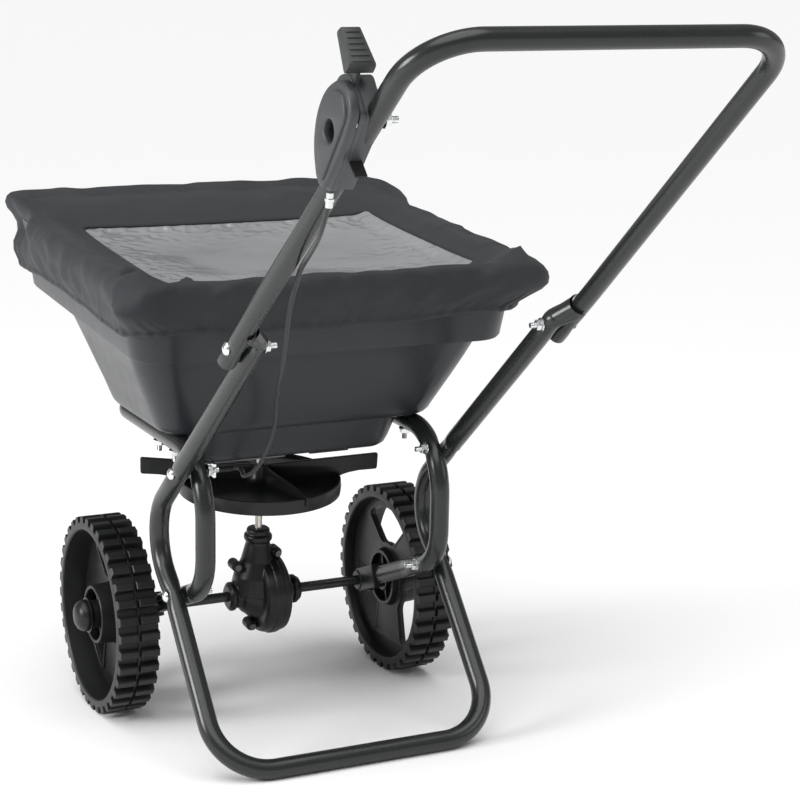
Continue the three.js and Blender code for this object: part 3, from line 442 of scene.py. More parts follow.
def both_sides(right):
    """Corners of a tube that is the same on both sides, from right to left."""
    return right + [(-x, y, z, r) for x, y, z, r in reversed(right)]


def dimples(spots, reach=9.0, depth=0.2):
    """Narrows a tube a little where a bolt clamps it."""
    def squeeze(point):
        gap = min(math.hypot(point.y - y, point.z - z) for y, z in spots)
        return 1 - depth * math.exp(-(gap / reach) ** 2)
    return squeeze


def frame_tubes():
    end = along_handle(ARM_END)
    ring_front = (-88, line_height(HANDLE_JOINT, HANDLE_TOP, -88))
    right = [(FRAME_X, end.x, end.y, 0), (FRAME_X, *ring_front, 56), (FRAME_X, *CROSS_LOW, 70),
             (FRAME_X, *STAND_FOOT, 62)]
    squeeze = dimples([CROSS_LOW, CROSS_HIGH, HANDLE_JOINT])
    tube = sweep(bend_line(both_sides(right), straight=5), TUBE, (1, 0, 0), squeeze=squeeze)
    make("frame_tube", cupped(tube), MACHINE, PAINT, "frame", ["main_frame_tube"], "painted_steel")

    front, rail = from_leaning(97, rail_at(97)), from_leaning(-183, rail_at(-183))
    axle_end = (-26, AXLE_Z + 9.5)
    low = (-204, line_height(CROSS_LOW, axle_end, -204))
    right = [(SUPPORT_X, *axle_end, 0), (SUPPORT_X, *low, 52), (SUPPORT_X, -210, rail.y, 70),
             (SUPPORT_X, front.x, front.y, 40)]
    pinch = dimples([CROSS_LOW, CROSS_HIGH])

    def pressed(point):
        if point.z < CROSS_LOW[1] + 20 and point.y > CROSS_LOW[0] + 10:
            t = min(1, (point.y - CROSS_LOW[0] - 10) / 44)
            return 1 - 0.56 * t * t * (3 - 2 * t)
        return pinch(point)
    tube = sweep(bend_line(both_sides(right), straight=5), TUBE, (1, 0, 0), squeeze=pressed)
    make("support_tube", tube, MACHINE, PAINT, "frame", ["hopper_support_tube"], "painted_steel")

    start = along_handle(-26)
    bend = along_handle(STRAIGHT)
    right = [(HANDLE_X, start.x, start.y, 0), (HANDLE_X, bend.x, bend.y, 300),
             (GRIP_X, *HANDLE_TOP, 56)]
    line = bend_line(both_sides(right), straight=5)
    tube = sweep(line, HANDLE_TUBE, (1, 0, 0), squeeze=dimples([HANDLE_JOINT]))
    make("handle_tube", tube, MACHINE, PAINT, "frame", ["upper_handle_tube"], "painted_steel")


def cupped(tube):
    """Presses the lower arms' ends into thin half cups round the upper handle's tube."""
    across = Vector((-slope.y, slope.x))
    for index, (x, y, z) in enumerate(tube.points):
        spot = Vector((y, z)) - Vector(HANDLE_JOINT)
        along, aside = spot.dot(slope), spot.dot(across)
        t = smooth_step(CUP_FROM, CUP_TO, along)
        if t == 0 or abs(aside) > 2 * TUBE:
            continue
        inward = (FRAME_X - abs(x)) / TUBE
        reach = HANDLE_TUBE + 0.5 + 1.8 * (1 + inward)
        wide = aside * reach / TUBE
        cup = HANDLE_X - math.sqrt(max(0, reach * reach - wide * wide))
        flat = Vector(HANDLE_JOINT) + slope * along + across * (aside + (wide - aside) * t)
        tube.points[index] = (math.copysign(abs(x) + (cup - abs(x)) * t, x), flat.x, flat.y)
    return tube


def bolt_shape(outside, inside, head=6.8, nut=5.9):
    """A domed bolt along X with a washer, nut and thread on the inner side."""
    dome = [(outside, 0), (outside, head)]
    for k in range(1, 7):
        angle = k * math.pi / 12
        dome.append((outside + 4.4 * math.sin(angle), head * math.cos(angle)))
    dome[-1] = (outside + 4.4, 0)
    shape = revolve(dome, "x", 28)
    washer = [(inside - 0.2, 3), (inside - 0.2, 7.2), (inside - 1.2, 7.2), (inside - 1.2, 3)]
    shape.part(revolve(washer, "x", 28, True))
    x0, x1 = inside - 6.6, inside - 1.3
    hexagon = [(x0, 0), (x0, nut * 0.86), (x0 + 0.8, nut), (x1 - 0.8, nut), (x1, nut * 0.86), (x1, 0)]
    shape.part(revolve(hexagon, "x", 6))
    thread = [(inside - 13.5, 0), (inside - 13.5, 2.3)]
    x = inside - 13.2
    while x < inside - 6.6:
        thread += [(x, 3.0), (x + 0.5, 2.45)]
        x += 1.0
    thread += [(inside - 6.2, 2.9), (inside - 6.2, 0)]
    return shape.part(revolve(thread, "x", 20))


def cross_bolts():
    inner_support, outer_frame = SUPPORT_X - TUBE, FRAME_X + TUBE
    places = {"frame_bolt_lower": (CROSS_LOW, outer_frame - 2, inner_support + 2),
              "frame_bolt_upper": (CROSS_HIGH, outer_frame - 2, inner_support + 2),
              "handle_bolt": (HANDLE_JOINT, HANDLE_X + HANDLE_TUBE - 1.8, FRAME_X - TUBE + 2)}
    for name, (spot, outside, inside) in places.items():
        for side, turn in (("left", -1), ("right", 1)):
            shape = Shape().part(bolt_shape(outside, inside), Matrix.Diagonal((turn, 1, 1, 1)))
            place = MACHINE @ Matrix.Translation((0, *spot))
            make(f"{name}_{side}_bolt", shape, place, ZINC, "frame", [f"{name}_{side}"], "zinc", sharp=30)


# ------------------------------------------------------------------ wheels, axle and bearings
LUGS = 36


def lug(x0, x1, angle, top=WHEEL_RADIUS, root=106.0):
    """One tread block, narrower at the top."""
    wide, narrow = math.radians(3.3), math.radians(1.9)
    points = []
    for radius, half in ((root, wide), (top - 1.0, narrow + 0.006), (top, narrow - 0.004)):
        for x in (x0, x1):
            for sign in (-1, 1):
                inset = 0 if radius == root else (0.6 if radius == top - 1.0 else 1.6)
                place = x + (inset if x == x0 else -inset)
                turn = angle + sign * half
                points.append((place, radius * math.cos(turn), radius * math.sin(turn)))
    faces = []
    for level in (0, 4):
        a, b, c, d = level, level + 1, level + 3, level + 2
        for p, q in ((a, b), (b, c), (c, d), (d, a)):
            faces.append((p, q, q + 4, p + 4))
    faces.append((8, 9, 11, 10))
    return Shape().add(points, faces)


def arc(radius, angles, centre=(0, 0)):
    return [(centre[0] + radius * math.cos(a), centre[1] + radius * math.sin(a)) for a in angles]


def wheel_shape():
    """The wheel about its own centre, with the outer face towards +X."""
    tyre = [(-23.5, 107.5), (-24, 106), (-24, 100.5), (-22.5, 99.2), (-3, 97.5), (3, 97.5), (22.5, 99.2),
            (24, 100.5), (24, 106), (23.5, 107.5), (1.4, 108), (0.9, 110.2), (-0.9, 110.2), (-1.4, 108)]
    shape = revolve(tyre, "x", 4 * LUGS, True)
    for i in range(LUGS):
        angle = 2 * math.pi * i / LUGS - math.pi / 2
        shape.part(lug(1.0, 23.8, angle)).part(lug(-23.8, -1.0, angle))
    windows = []
    for i in range(3):
        middle = math.pi / 2 + i * 2 * math.pi / 3
        outer = arc(87, middle + np.linspace(-0.62, 0.62, 15))
        inner = arc(43, (middle + 0.36, middle, middle - 0.36))
        windows.append(rounded(outer[:1] + outer[2:-2:2] + outer[-1:] + inner, 13, 5))
    rim = arc(99, np.linspace(0, 2 * math.pi, 97)[:-1])
    shape.part(plate([rim, *windows], -11, -5, 1.2))
    for window in windows:
        shape.part(window_lip(window))
    shape.part(revolve([(-20, 30), (18, 30), (19, 31), (19, 33), (18, 34), (-4, 35.5), (-8, 40), (-12, 35.5),
                        (-20, 34)], "x", 64, True))
    shape.part(revolve([(-20, 8), (21, 8), (22, 9), (22, 15), (21, 16), (-20, 16)], "x", 48, True))
    for i in range(6):
        rib = block(-16, 12, 14, 31, -1.3, 1.3)
        shape.part(rib, Matrix.Rotation(i * math.pi / 3 + 0.3, 4, "X"))
    shape.part(revolve([(-8, 14), (-8, 32), (-5, 32), (-5, 14)], "x", 48, True))
    return shape


def window_lip(window):
    """A raised edge round a window of the web."""
    shape = Shape()
    centre = Vector((sum(p[0] for p in window), sum(p[1] for p in window))) / len(window)
    rows = []
    for x, grow in ((-11.5, 0.2), (-3.4, 0.2), (-2.8, 1.0), (-2.8, 2.2), (-3.4, 3.0), (-11.5, 3.0)):
        row = []
        for point in window:
            away = Vector(point) - centre
            spot = centre + away * (1 + grow / away.length)
            shape.points.append((x, *spot))
            row.append(len(shape.points) - 1)
        rows.append(row)
    count = len(window)
    for a, b in zip(rows, rows[1:] + rows[:1]):
        for k in range(count):
            shape.faces.append((a[k], a[(k + 1) % count], b[(k + 1) % count], b[k]))
    return shape


def running_gear():
    """Wheels, hub caps, axle and its two bearings."""
    wheel = wheel_shape()
    dome = [(24, 0), (24, 17.5), (27, 18.6), (30, 18.6), (33.5, 17.6), (37, 15), (39.5, 11), (41, 6),
            (41.3, 0)]
    cap = revolve(dome, "x", 48)
    cap.part(revolve([(24, 12), (24, 20), (26, 20.6), (26.6, 19), (26.6, 12)], "x", 48, True))
    for side, turn in (("left", -1), ("right", 1)):
        body = "drive_axle" if turn < 0 else "free_wheel"
        flip = Matrix.Diagonal((turn, 1, 1, 1)) @ Matrix.Translation((WHEEL_X, 0, 0))
        make(f"{side}_wheel", Shape().part(wheel, flip), ON_AXLE, TREAD, body, [f"wheel_{side}"],
             "black_plastic", sharp=32)
        make(f"{side}_hub_cap", Shape().part(cap, flip), ON_AXLE, BLACK, "drive_axle", [f"hub_cap_{side}"],
             "black_plastic", sharp=30)
    rod = revolve([(-210, 0), (-210, 6), (210, 6), (210, 0)], "x", 28)
    make("axle_rod", rod, ON_AXLE, PAINT, "drive_axle", ["axle"], "painted_steel")
    tilt = math.atan2(CROSS_LOW[1] - AXLE_Z - 9.5, CROSS_LOW[0] + 26) - math.pi
    for side, turn in (("left", -1), ("right", 1)):
        x = turn * SUPPORT_X
        shape = bar_x(12, x - turn * 9, x + turn * 7, soft=1)
        shape.part(bar_x(16, x + turn * 6, x + turn * 10, soft=1))
        socket_block = Shape().part(block(x - 7.5, x + 7.5, -47, 0, -14, 14), Matrix.Rotation(tilt, 4, "X"))
        moulded(f"{side}_bearing", shape.part(socket_block), ON_AXLE, 0.8, BLACK, "frame",
                [f"axle_bearing_{side}"], "black_plastic", rounds=3)


# ------------------------------------------------------------------ gearbox and spinner
GEARBOX_LUGS = [(-29, 40), (22, 52), (-8, -38), (35, -32)]


def gearbox():
    """Two shells with the gear's round case, the shaft's neck and the axle's sleeves, cut at their joint."""
    for half, keep in (("rear", -1), ("front", 1)):
        gear_case = [(-3, 0), (-3, 41), (0, 46), (5, 47.5), (22, 47.5), (27, 46), (30, 41), (30, 0)]
        shape = revolve(gear_case, "x", 64)
        neck = [(5, 0), (5, 32), (26, 28), (44, 20), (66, 14.5), (82, 14), (84, 12.5), (84, 0)]
        shape.part(revolve(neck, "z", 48))
        shape.part(revolve([(69, 0), (69, 16), (70.5, 17), (75, 17), (76.5, 16), (76.5, 0)], "z", 48))
        shape.part(revolve([(-27, 0), (-27, 11), (-20, 20), (-6, 30), (12, 34), (12, 0)], "x", 48))
        shape.part(bar_x(15, -38, 10, soft=1.5)).part(bar_x(15, 20, 54, soft=1.5))
        shape.part(bar_x(17.5, -36, -30, soft=1)).part(bar_x(17.5, 44, 50, soft=1))
        shape.part(revolve([(9, 44), (9, 49.4), (18, 49.4), (18, 44)], "x", 64, True))
        for x, z in GEARBOX_LUGS:
            lug_bar = Shape().part(bar_z(6.5, -9, 9, soft=1), Matrix.Rotation(math.pi / 2, 4, "X"))
            shape.part(lug_bar, Matrix.Translation((x, 0, z)))
        made = moulded(f"gearbox_{half}", shape, LEANING, 1.0, BLACK, "frame", [f"gearbox_{half}_shell"],
                       "black_plastic", rounds=4)
        work = bmesh.new()
        work.from_mesh(made.data)
        out = LEANING.to_3x3() @ Vector((0, -keep, 0))
        seam = LEANING @ Vector((0, keep * 0.25, 0))
        cut = bmesh.ops.bisect_plane(work, geom=work.verts[:] + work.edges[:] + work.faces[:],
                                     plane_co=seam, plane_no=out.normalized(), clear_outer=True)
        rim = [e for e in cut["geom_cut"] if isinstance(e, bmesh.types.BMEdge)]
        bmesh.ops.holes_fill(work, edges=rim)
        work.to_mesh(made.data)
        work.free()
        made.data.polygons.foreach_set("use_smooth", [True] * len(made.data.polygons))
        made.data.set_sharp_from_angle(angle=math.radians(50))
        made.data.materials.clear()
        made.data.materials.append(BLACK)


SPINNER_Z = 132
LONG_TURN, SHORT_TURN = -14, -78


def spinner():
    z = SPINNER_Z
    dish = [(z + 4, 0), (z + 4, 16), (z + 8, 20), (z + 8, 86), (z + 5, 91), (z, 93), (z, 96), (z + 9, 97),
            (z + 16, 96.2), (z + 17, 95), (z + 16.5, 93), (z + 13, 89), (z + 12, 22), (z + 12, 0)]
    shape = revolve(dish, "z", 96)
    shape.part(revolve([(z + 10, 21), (z + 13, 16), (z + 18, 12), (z + 32, 11), (z + 33, 10), (z + 33, 5),
                        (z + 10, 5)], "z", 48, True))
    long_vane = [(7, z + 10), (90, z + 10), (95, z + 15), (106, z + 19), (119, z + 21.5), (141, z + 23),
                 (141.5, z + 43), (108, z + 40), (7, z + 31)]
    short_vane = [(7, z + 10), (92, z + 10), (99, z + 6), (99.5, z + 19), (7, z + 31)]
    for turn in (0, 180):
        shape.part(vane(long_vane), Matrix.Rotation(math.radians(turn + LONG_TURN), 4, "Z"))
        shape.part(vane(short_vane), Matrix.Rotation(math.radians(turn + SHORT_TURN), 4, "Z"))
    make("spinner_disc", shape, LEANING, BLACK, "spinner", ["spinner"], "black_plastic", sharp=40)
    rod = revolve([(21, 0), (21, 4.5), (235, 4.5), (236, 3.8), (236, 0)], "z", 24)
    make("spinner_rod", rod, LEANING, STEEL, "spinner", ["spinner_shaft"], "steel")


def vane(outline):
    """An upright vane with softened edges, from (distance from the shaft, height) points."""
    upright = plate([rounded(outline, 3, 3)], -2.2, 2.2, 0.8)
    return Shape().add([(y, x, h) for x, y, h in upright.points], upright.faces)


# ------------------------------------------------------------------ hopper
# Height, half width, rear, front, rear corner radius, front corner radius, share of the step's tilt.
LEVELS = [
    (206, 108, -98, 66, 20, 22, 0), (207.5, 114, -104, 71, 24, 26, 0),
    (211, 119, -109, 75, 29, 30, 0), (218, 122.5, -113, 77.5, 31, 33, 0.3),
    (239.5, 129, -122, 82, 34, 36, 1), (240, 156, -124, 90, 33, 52, 1),
    (242.5, 162, -129, 95, 36, 57, 1), (247, 166, -133, 99.5, 38, 61, 1),
    (252, 168.5, -135.5, 102.5, 40, 64, 1), (270, 176, -141.5, 111, 41, 69, 0.6),
    (292, 185.8, -149, 122, 42, 74, 0.3), (320, 198, -158, 135, 43, 80, 0),
    (348, 210, -167.5, 149, 44, 85, 0), (350, 213, -170, 153, 44, 85, 0),
    (350.5, 218, -195, 220, 40, 42, 0), (353, 219.5, -196.4, 222, 40, 42, 0),
    (390, 225, -200, 226, 42, 43, 0), (428, 231, -204, 230, 44, 44, 0),
    (431, 232.4, -205.4, 231.4, 45, 45, 0), (432, 232, -205, 231, 45, 45, 0),
]
CORNER_STEPS, SIDE_STEPS = 16, 24
WALL = 3.0
REAR_STEP, REAR_RIB = 3.0, 1.5


def ring(half, rear, front, back_radius, nose_radius, corner=CORNER_STEPS, side=SIDE_STEPS):
    """Points round a rounded rectangle, from the front right corner, with the outward direction of each."""
    spots = [(half - nose_radius, front - nose_radius, nose_radius, 0),
             (nose_radius - half, front - nose_radius, nose_radius, 1),
             (back_radius - half, rear + back_radius, back_radius, 2),
             (half - back_radius, rear + back_radius, back_radius, 3)]
    out = []
    for i, (x, y, r, quarter) in enumerate(spots):
        for k in range(corner + 1):
            angle = (quarter + k / corner) * math.pi / 2
            out.append((Vector((x + r * math.cos(angle), y + r * math.sin(angle))),
                        Vector((math.cos(angle), math.sin(angle)))))
        nx, ny, nr, _ = spots[(i + 1) % 4]
        start = out[-1]
        angle = (quarter + 1) * math.pi / 2
        end = Vector((nx + nr * math.cos(angle), ny + nr * math.sin(angle)))
        for k in range(1, side):
            out.append((start[0].lerp(end, k / side), start[1]))
    return out


def stacked(rows, closed_ends=True):
    """Joins rows of points, one above another, into a skin."""
    shape = Shape()
    indexes = []
    for row in rows:
        start = len(shape.points)
        shape.points += [tuple(p) for p in row]
        indexes.append(list(range(start, start + len(row))))
    count = len(rows[0])
    for a, b in zip(indexes, indexes[1:]):
        for k in range(count):
            n = (k + 1) % count
            shape.faces.append((a[k], a[n], b[n], b[k]))
    if closed_ends:
        shape.faces.append(tuple(reversed(indexes[0])))
        shape.faces.append(tuple(indexes[-1]))
    return shape


def smooth_step(low, high, value):
    """0 below low, 1 above high, and an even curve between."""
    t = min(1, max(0, (value - low) / (high - low)))
    return t * t * (3 - 2 * t)


def hopper_row(level, inset=0.0, lift=0.0):
    z, half, rear, front, back, nose, tilted = level
    row = []
    back, nose = max(3, back - inset), max(3, nose - inset)
    for point, out in ring(half - inset, rear + inset, front - inset, back, nose):
        x, y = point
        push = 0.0
        if 349 < z < 426:
            # The band's rear wall steps in a little between its two corner ears.
            if out.y < -0.5:
                push -= REAR_STEP * (1 - smooth_step(128, 134, abs(x)))
        if 255 < z < 346 and out.y < -0.5:
            push += REAR_RIB * (1 - smooth_step(10, 11.5, abs(x - 146)))
        row.append((x + out.x * push, y + out.y * push, z + lift - tilted * LEDGE_TILT * y))
    return row


def hopper():
    """The hopper as one thin-walled tub, and the four bolts through its step."""
    outer = [hopper_row(level) for level in LEVELS]
    inner = [hopper_row(level, WALL) for level in reversed(LEVELS[6:])]
    inner.append(hopper_row(LEVELS[5], WALL, 3.2))
    inner += [hopper_row(level, WALL, WALL) for level in reversed(LEVELS[1:5])]
    make("hopper_tub", stacked(outer + inner), LEANING, HOPPER, "frame", ["hopper"], "hopper_plastic",
         sharp=34)
    for end, y in (("front", -43), ("rear", -94)):
        for side, turn in (("left", -1), ("right", 1)):
            upright = Matrix.Translation((turn * SUPPORT_X, y, 0)) @ Matrix.Rotation(-math.pi / 2, 4, "Y")
            bolt = bolt_shape(LEDGE_Z - LEDGE_TILT * y + WALL + 0.2, rail_at(y) - TUBE + 0.4)
            make(f"hopper_{end}_{side}_bolt", Shape().part(bolt, upright), LEANING, ZINC, "frame",
                 [f"hopper_bolt_{end}_{side}"], "zinc", sharp=30)


# ------------------------------------------------------------------ rain cover
WINDOW_HALF, WINDOW_MIDDLE, WINDOW_REAR, WINDOW_FRONT = 184, 12, -142, 152
TUCK = 3


def top_height(x, y):
    """Height of the cover's top over the hopper, sagging in the middle and rising at its borders."""
    u = min(1, abs(x - WINDOW_MIDDLE) / 205)
    v = min(1, abs((y - 5) / 165))
    sag = 14 * (1 - u ** 2.5) * (1 - v ** 2.5)
    aside, ahead = smooth_step(176, 228, abs(x)), smooth_step(140, 212, y)
    lift = 18 * aside + 24 * ahead - 20 * aside * ahead + 13 * smooth_step(150, 205, -y)
    rear_dip = 5 * smooth_step(60, 150, -y) * math.exp(-((x + 95) / 80) ** 2)
    return 424 - sag + lift - rear_dip


def ripple(x, y, z, size, seed):
    """Soft waves of about the given size, the same each time for a seed."""
    return noise.noise(Vector((x / size + seed, y / size - seed, z / size + 2 * seed)))


def crease(x, y, z, size, seed):
    """Sharp folds: high along thin wandering lines."""
    return 1 - min(1, abs(ripple(x, y, z, size, seed)) * 3.2)


RIM = (231, -204, 230)
HEM_Z = 380
CLOTH_THICKNESS = 0.5
# Skirt rows: height, distance from the rim's outline, corner radius.
SKIRT = [(388, -4.5, 44), (384, -4.0, 44), (381.5, -2.5, 44), (380.5, 0.0, 44), (381.5, 2.4, 44),
         (384, 3.6, 44), (387, 3.2, 44), (390, 4.6, 43), (395, 7.5, 41), (401, 10.5, 38), (408, 13.0, 35),
         (415, 15.0, 31), (422, 16.0, 28), (429, 16.0, 26), (435, 14.5, 25), (440, 11.5, 26), (443, 7.5, 28)]
# The corners that stand out: place of each in plan, push outwards, reach, and height.
EARS = [((238, -200), (12, -2), 34, 418), ((238, 200), (12, -6), 46, 440), ((-236, 198), (17, -12), 46, 424),
        ((-232, -204), (-8, -8), 34, 410)]


def cover_point(x, y, z, out, height_share):
    """Adds corner ears and soft folds to a point of the cover."""
    outward = Vector((out.x, out.y, 0))
    spot = Vector((x, y, z))
    fold = 5.0 * height_share * (ripple(x, y, z, 46, 3.1) + 0.6 * ripple(x, y, z, 21, 7.7))
    fold += 3.2 * height_share * (crease(x, y, z * 1.3, 60, 5.5) - 0.5)
    spot += outward * fold
    spot.z += 2.0 * height_share * ripple(x, y, z, 38, 9.2)
    for (cx, cy), push, reach, level in EARS:
        near = math.exp(-((x - cx) ** 2 + (y - cy) ** 2) / (2 * reach * reach) * 1.6)
        tall = math.exp(-((z - level) / 20) ** 2)
        amount = near * tall
        spot += Vector((push[0], push[1], 0)) * amount
    return spot


def pocket(x, y):
    """The fold that drops in at the rear left corner, and the lip that stands up beside it."""
    dip = 34 * math.exp(-((x + 203) / 31) ** 4 - ((y + 172 - 0.12 * (x + 205)) / 15) ** 4)
    lip = 13 * math.exp(-((x + 158) / 12) ** 2 - ((y + 160) / 15) ** 2)
    far_lip = 9 * math.exp(-((x + 205) / 34) ** 4 - ((y + 144) / 9) ** 2)
    near_sag = 9 * math.exp(-((x + 205) / 38) ** 4 - ((y + 204) / 14) ** 2)
    return lip + far_lip - near_sag - dip


def gather(distance, share):
    """Small pleats along the elastic hem."""
    wander = 3.0 * noise.noise(Vector((distance / 60, 4.0, 1.0)))
    strength = 0.6 + 0.8 * noise.noise(Vector((distance / 25, 0, 8)))
    return share * 1.7 * math.sin(distance / 2.6 + wander * 3) * strength


def rim_ring(away, radius, corner, side):
    """The rim's outline, moved out by a distance."""
    half, rear, front = RIM
    return ring(half + away, rear - away, front + away, radius, radius, corner, side)


def cover():
    """The fabric, from the hem's inside, out and up the skirt, and in to the window."""
    corner, side = 46, 64
    rows = []
    outline = rim_ring(0, 44, corner, side)
    lengths = [0.0]
    for (a, _), (b, _) in zip(outline, outline[1:]):
        lengths.append(lengths[-1] + (b - a).length)
    for index, (z, away, radius) in enumerate(SKIRT):
        share = smooth_step(384, 415, z)
        row = []
        for k, (point, out) in enumerate(rim_ring(away, radius, corner, side)):
            front = smooth_step(100, 215, point.y)
            rise = (z - HEM_Z) * 0.2 * front
            sway = 6.0 * (1 - share) * ripple(point.x, point.y, 0, 70, 1.7)
            right_side, left_side = smooth_step(60, 200, point.x), smooth_step(150, 225, -point.x)
            sway += (1 - share) * (6 * right_side - 7 * left_side * front)
            spot = cover_point(point.x, point.y, z + rise + sway, out, share)
            pleat = gather(lengths[k], 1 - smooth_step(392, 412, z) if index > 5 else 0.35)
            spot += Vector((out.x, out.y, 0)) * pleat
            row.append(spot)
        rows.append(row)
    for step in range(1, 15):
        t = step / 14
        row = []
        rim = rim_ring(3, 30, corner, side)
        pane = ring(WINDOW_HALF, WINDOW_REAR, WINDOW_FRONT, 8, 8, corner, side)
        pane = [(spot + Vector((WINDOW_MIDDLE, 0)), way) for spot, way in pane]
        for (a, out), (b, _) in zip(rim, pane):
            x, y = a.lerp(b, t)
            z = top_height(x, y) + 0.8
            soft = (1 - t) ** 0.7
            spot = cover_point(x, y, z, out, 0.35 * soft * smooth_step(0, 0.3, t))
            spot.z += soft * (3.4 * ripple(x, y, 0, 34, 6.1) + 3.0 * (crease(x, y, 0, 50, 2.2) - 0.5))
            spot.z += pocket(x, y) * smooth_step(0, 0.25, t)
            row.append(spot)
        rows.append(row)
    last = [Vector((p.x, p.y, p.z - 1.4)) for p in rows[-1]]
    rows.append(last)
    shape = stacked(rows, closed_ends=False)
    made = make("rain_cover", shape, LEANING, CLOTH, "cover", ["cover_fabric"], "cover_fabric", sharp=180)
    wall = made.modifiers.new("wall", "SOLIDIFY")
    wall.thickness = CLOTH_THICKNESS * MM
    wall.offset = 0
    bake(made)
    made.data.polygons.foreach_set("use_smooth", [True] * len(made.data.polygons))
    made.data.materials.clear()
    made.data.materials.append(CLOTH)
    film()


def film():
    """The clear window, slack in the middle and wrinkled at its seam."""
    shape = Shape()
    across, along = 150, 120
    half, rear, front = WINDOW_HALF + TUCK, WINDOW_REAR - TUCK, WINDOW_FRONT + TUCK
    for j in range(along + 1):
        for i in range(across + 1):
            x = WINDOW_MIDDLE - half + 2 * half * i / across
            y = rear + (front - rear) * j / along
            edge = min(half - abs(x - WINDOW_MIDDLE), y - rear, front - y)
            pull = math.exp(-edge / 22)
            z = top_height(x, y) - 0.9 + min(0, pocket(x, y))
            free = smooth_step(0, 12, edge)
            z += free * (3.6 * pull * ripple(x, y, 0, 11, 4.4) + 1.6 * ripple(x, y, 0, 60, 8.8))
            z += free * pull * 3.2 * (crease(x, y, 0, 20, 1.2) - 0.4)
            shape.points.append((x, y, z))
    for j in range(along):
        for i in range(across):
            a = j * (across + 1) + i
            shape.faces.append((a, a + 1, a + across + 2, a + across + 1))
    made = make("cover_pane", shape, LEANING, FILM, "cover", ["cover_window"], "clear_film", sharp=180)


# ------------------------------------------------------------------ lever control and cable
CASE_FRONT = [(-704, 758), (-676, 749), (-657, 727), (-650, 700), (-656, 672), (-668, 662), (-692, 684),
              (-716, 710), (-730, 732), (-722, 750)]
CASE_BODY = [(-705, 762), (-684, 760), (-658, 736), (-645, 700), (-650, 667), (-662, 659), (-728, 728)]
SPLIT_X = -197.3
INNER_X = -175
SLOT = (-688.5, 688.3)


def toward_pivot(points, inset):
    """An outline moved in towards the lever's pivot."""
    out = []
    for point in points:
        away = Vector(point) - Vector(PIVOT)
        out.append(tuple(Vector(PIVOT) + away * (1 - inset / away.length)))
    return out


def control():
    """The control's two casing halves, its slot as a near-black block of painted shade, clamp bolt, lever and
    cable adjuster.
    """
    eye = arc(10, np.linspace(0, 2 * math.pi, 33)[:-1], PIVOT)
    edge = rounded(CASE_FRONT, 14, 8)
    inner = rounded(toward_pivot(CASE_FRONT, 8), 12, 8)
    shape = plate([edge, eye], SPLIT_X - 9.5, SPLIT_X - 0.3, 2.6)
    shape.part(plate([inner, eye], SPLIT_X - 12, SPLIT_X - 2, 2.0))
    make("case_front", shape, MACHINE, GREY, "frame", ["control_cover"], "grey_plastic", sharp=40)
    shape = plate([rounded(CASE_BODY, 7, 6)], SPLIT_X + 0.2, SPLIT_X + 6, 1.2)
    shape.part(plate([rounded(toward_pivot(CASE_BODY, 1.2), 6, 6)], SPLIT_X + 5, INNER_X, 1.4))
    make("case_body", shape, MACHINE, GREY, "frame", ["control_body"], "grey_plastic", sharp=40)
    # A thin near-black block where the lever's slot is: painted shade standing for the slot's shadowed
    # inside.
    slot_shade_block = Shape().part(block(-190, -179, -1.2, 1.2, -17, 17), Matrix.Rotation(math.radians(-43), 4, "X"))
    make("case_slot_shade", Shape().part(slot_shade_block, Matrix.Translation((0, *SLOT))), MACHINE, SLOT_SHADE, "frame",
         slot="grey_plastic")
    clamp = along_handle(CLAMP_ALONG)
    inside = handle_x(CLAMP_ALONG) - HANDLE_TUBE
    bolt = Shape().part(bolt_shape(-SPLIT_X - 1, inside + 1), Matrix.Diagonal((-1, 1, 1, 1)))
    make("case_bolt", bolt, MACHINE @ Matrix.Translation((0, *clamp)), ZINC, "frame",
         ["control_clamp_bolt"], "zinc", sharp=30)
    lever_handle()
    adjuster = [(0, 0), (0, 3.4), (5, 3.4), (5.5, 4.2), (8, 4.2), (8.5, 3.2), (13, 3.2), (13, 0)]
    place = MACHINE @ Matrix.Translation((LEVER_X, -655, 647)) @ Matrix.Rotation(0.2, 4, "X")
    make("cable_adjuster", revolve(adjuster, "z", 24), place, ZINC, "frame", slot="zinc")


GRIP_HALF = 12.8


def lever_handle():
    stem = [(-700, 720), (-718, 768), (-704, 772), (-680, 720)]
    shape = plate([rounded(stem, 5, 4)], LEVER_X - 2, LEVER_X + 2, 0.5)
    shape.part(bar_x(14, LEVER_X - 2, LEVER_X + 2, *PIVOT, sides=48))
    grip = Shape()
    outline = rounded([(-716, 761), (-725, 769), (-701, 800), (-692, 795)], 3, 5)
    for half in (-GRIP_HALF, GRIP_HALF):
        for y, z in outline:
            tall = min(1, max(0, (z - 765) / 35))
            grip.points.append((LEVER_X + half * (1 - 0.36 * tall), y, z))
    count = len(outline)
    for k in range(count):
        n = (k + 1) % count
        grip.faces.append((k, n, n + count, k + count))
    grip.faces.append(tuple(range(count)))
    grip.faces.append(tuple(range(count, 2 * count)))
    shape.part(grip)
    lean = math.atan2(31, 24)
    for k in range(6):
        t = (k + 0.7) / 6.6
        y, z = -725 + 24 * t - 0.1, 769 + 31 * t + 0.1
        half = (GRIP_HALF - 4.6 * t) * 0.72
        bar = Shape().part(block(-half, half, -1.3, 1.3, -0.8, 0.8), Matrix.Rotation(lean, 4, "X"))
        shape.part(bar, Matrix.Translation((LEVER_X, y, z)))
    make("lever_grip", shape, MACHINE, LEVER, "lever", ["control_lever"], "black_plastic", bevel=0.5)


CABLE_POINTS = [(LEVER_X, -657, 656), (-193.6, -650, 644), (-193, -634, 622), (-188, -604, 604),
                (-180, -570, 590),
                (-170, -536, 577), (-157, -496, 558), (-143, -453, 538), (-127, -406, 511), (-108, -353, 476),
                (-92, -305, 441), (-74, -250, 405), (-58, -206, 372), (-54, -180, 340), (-60, -158, 308),
                (-69, -141, 295)]


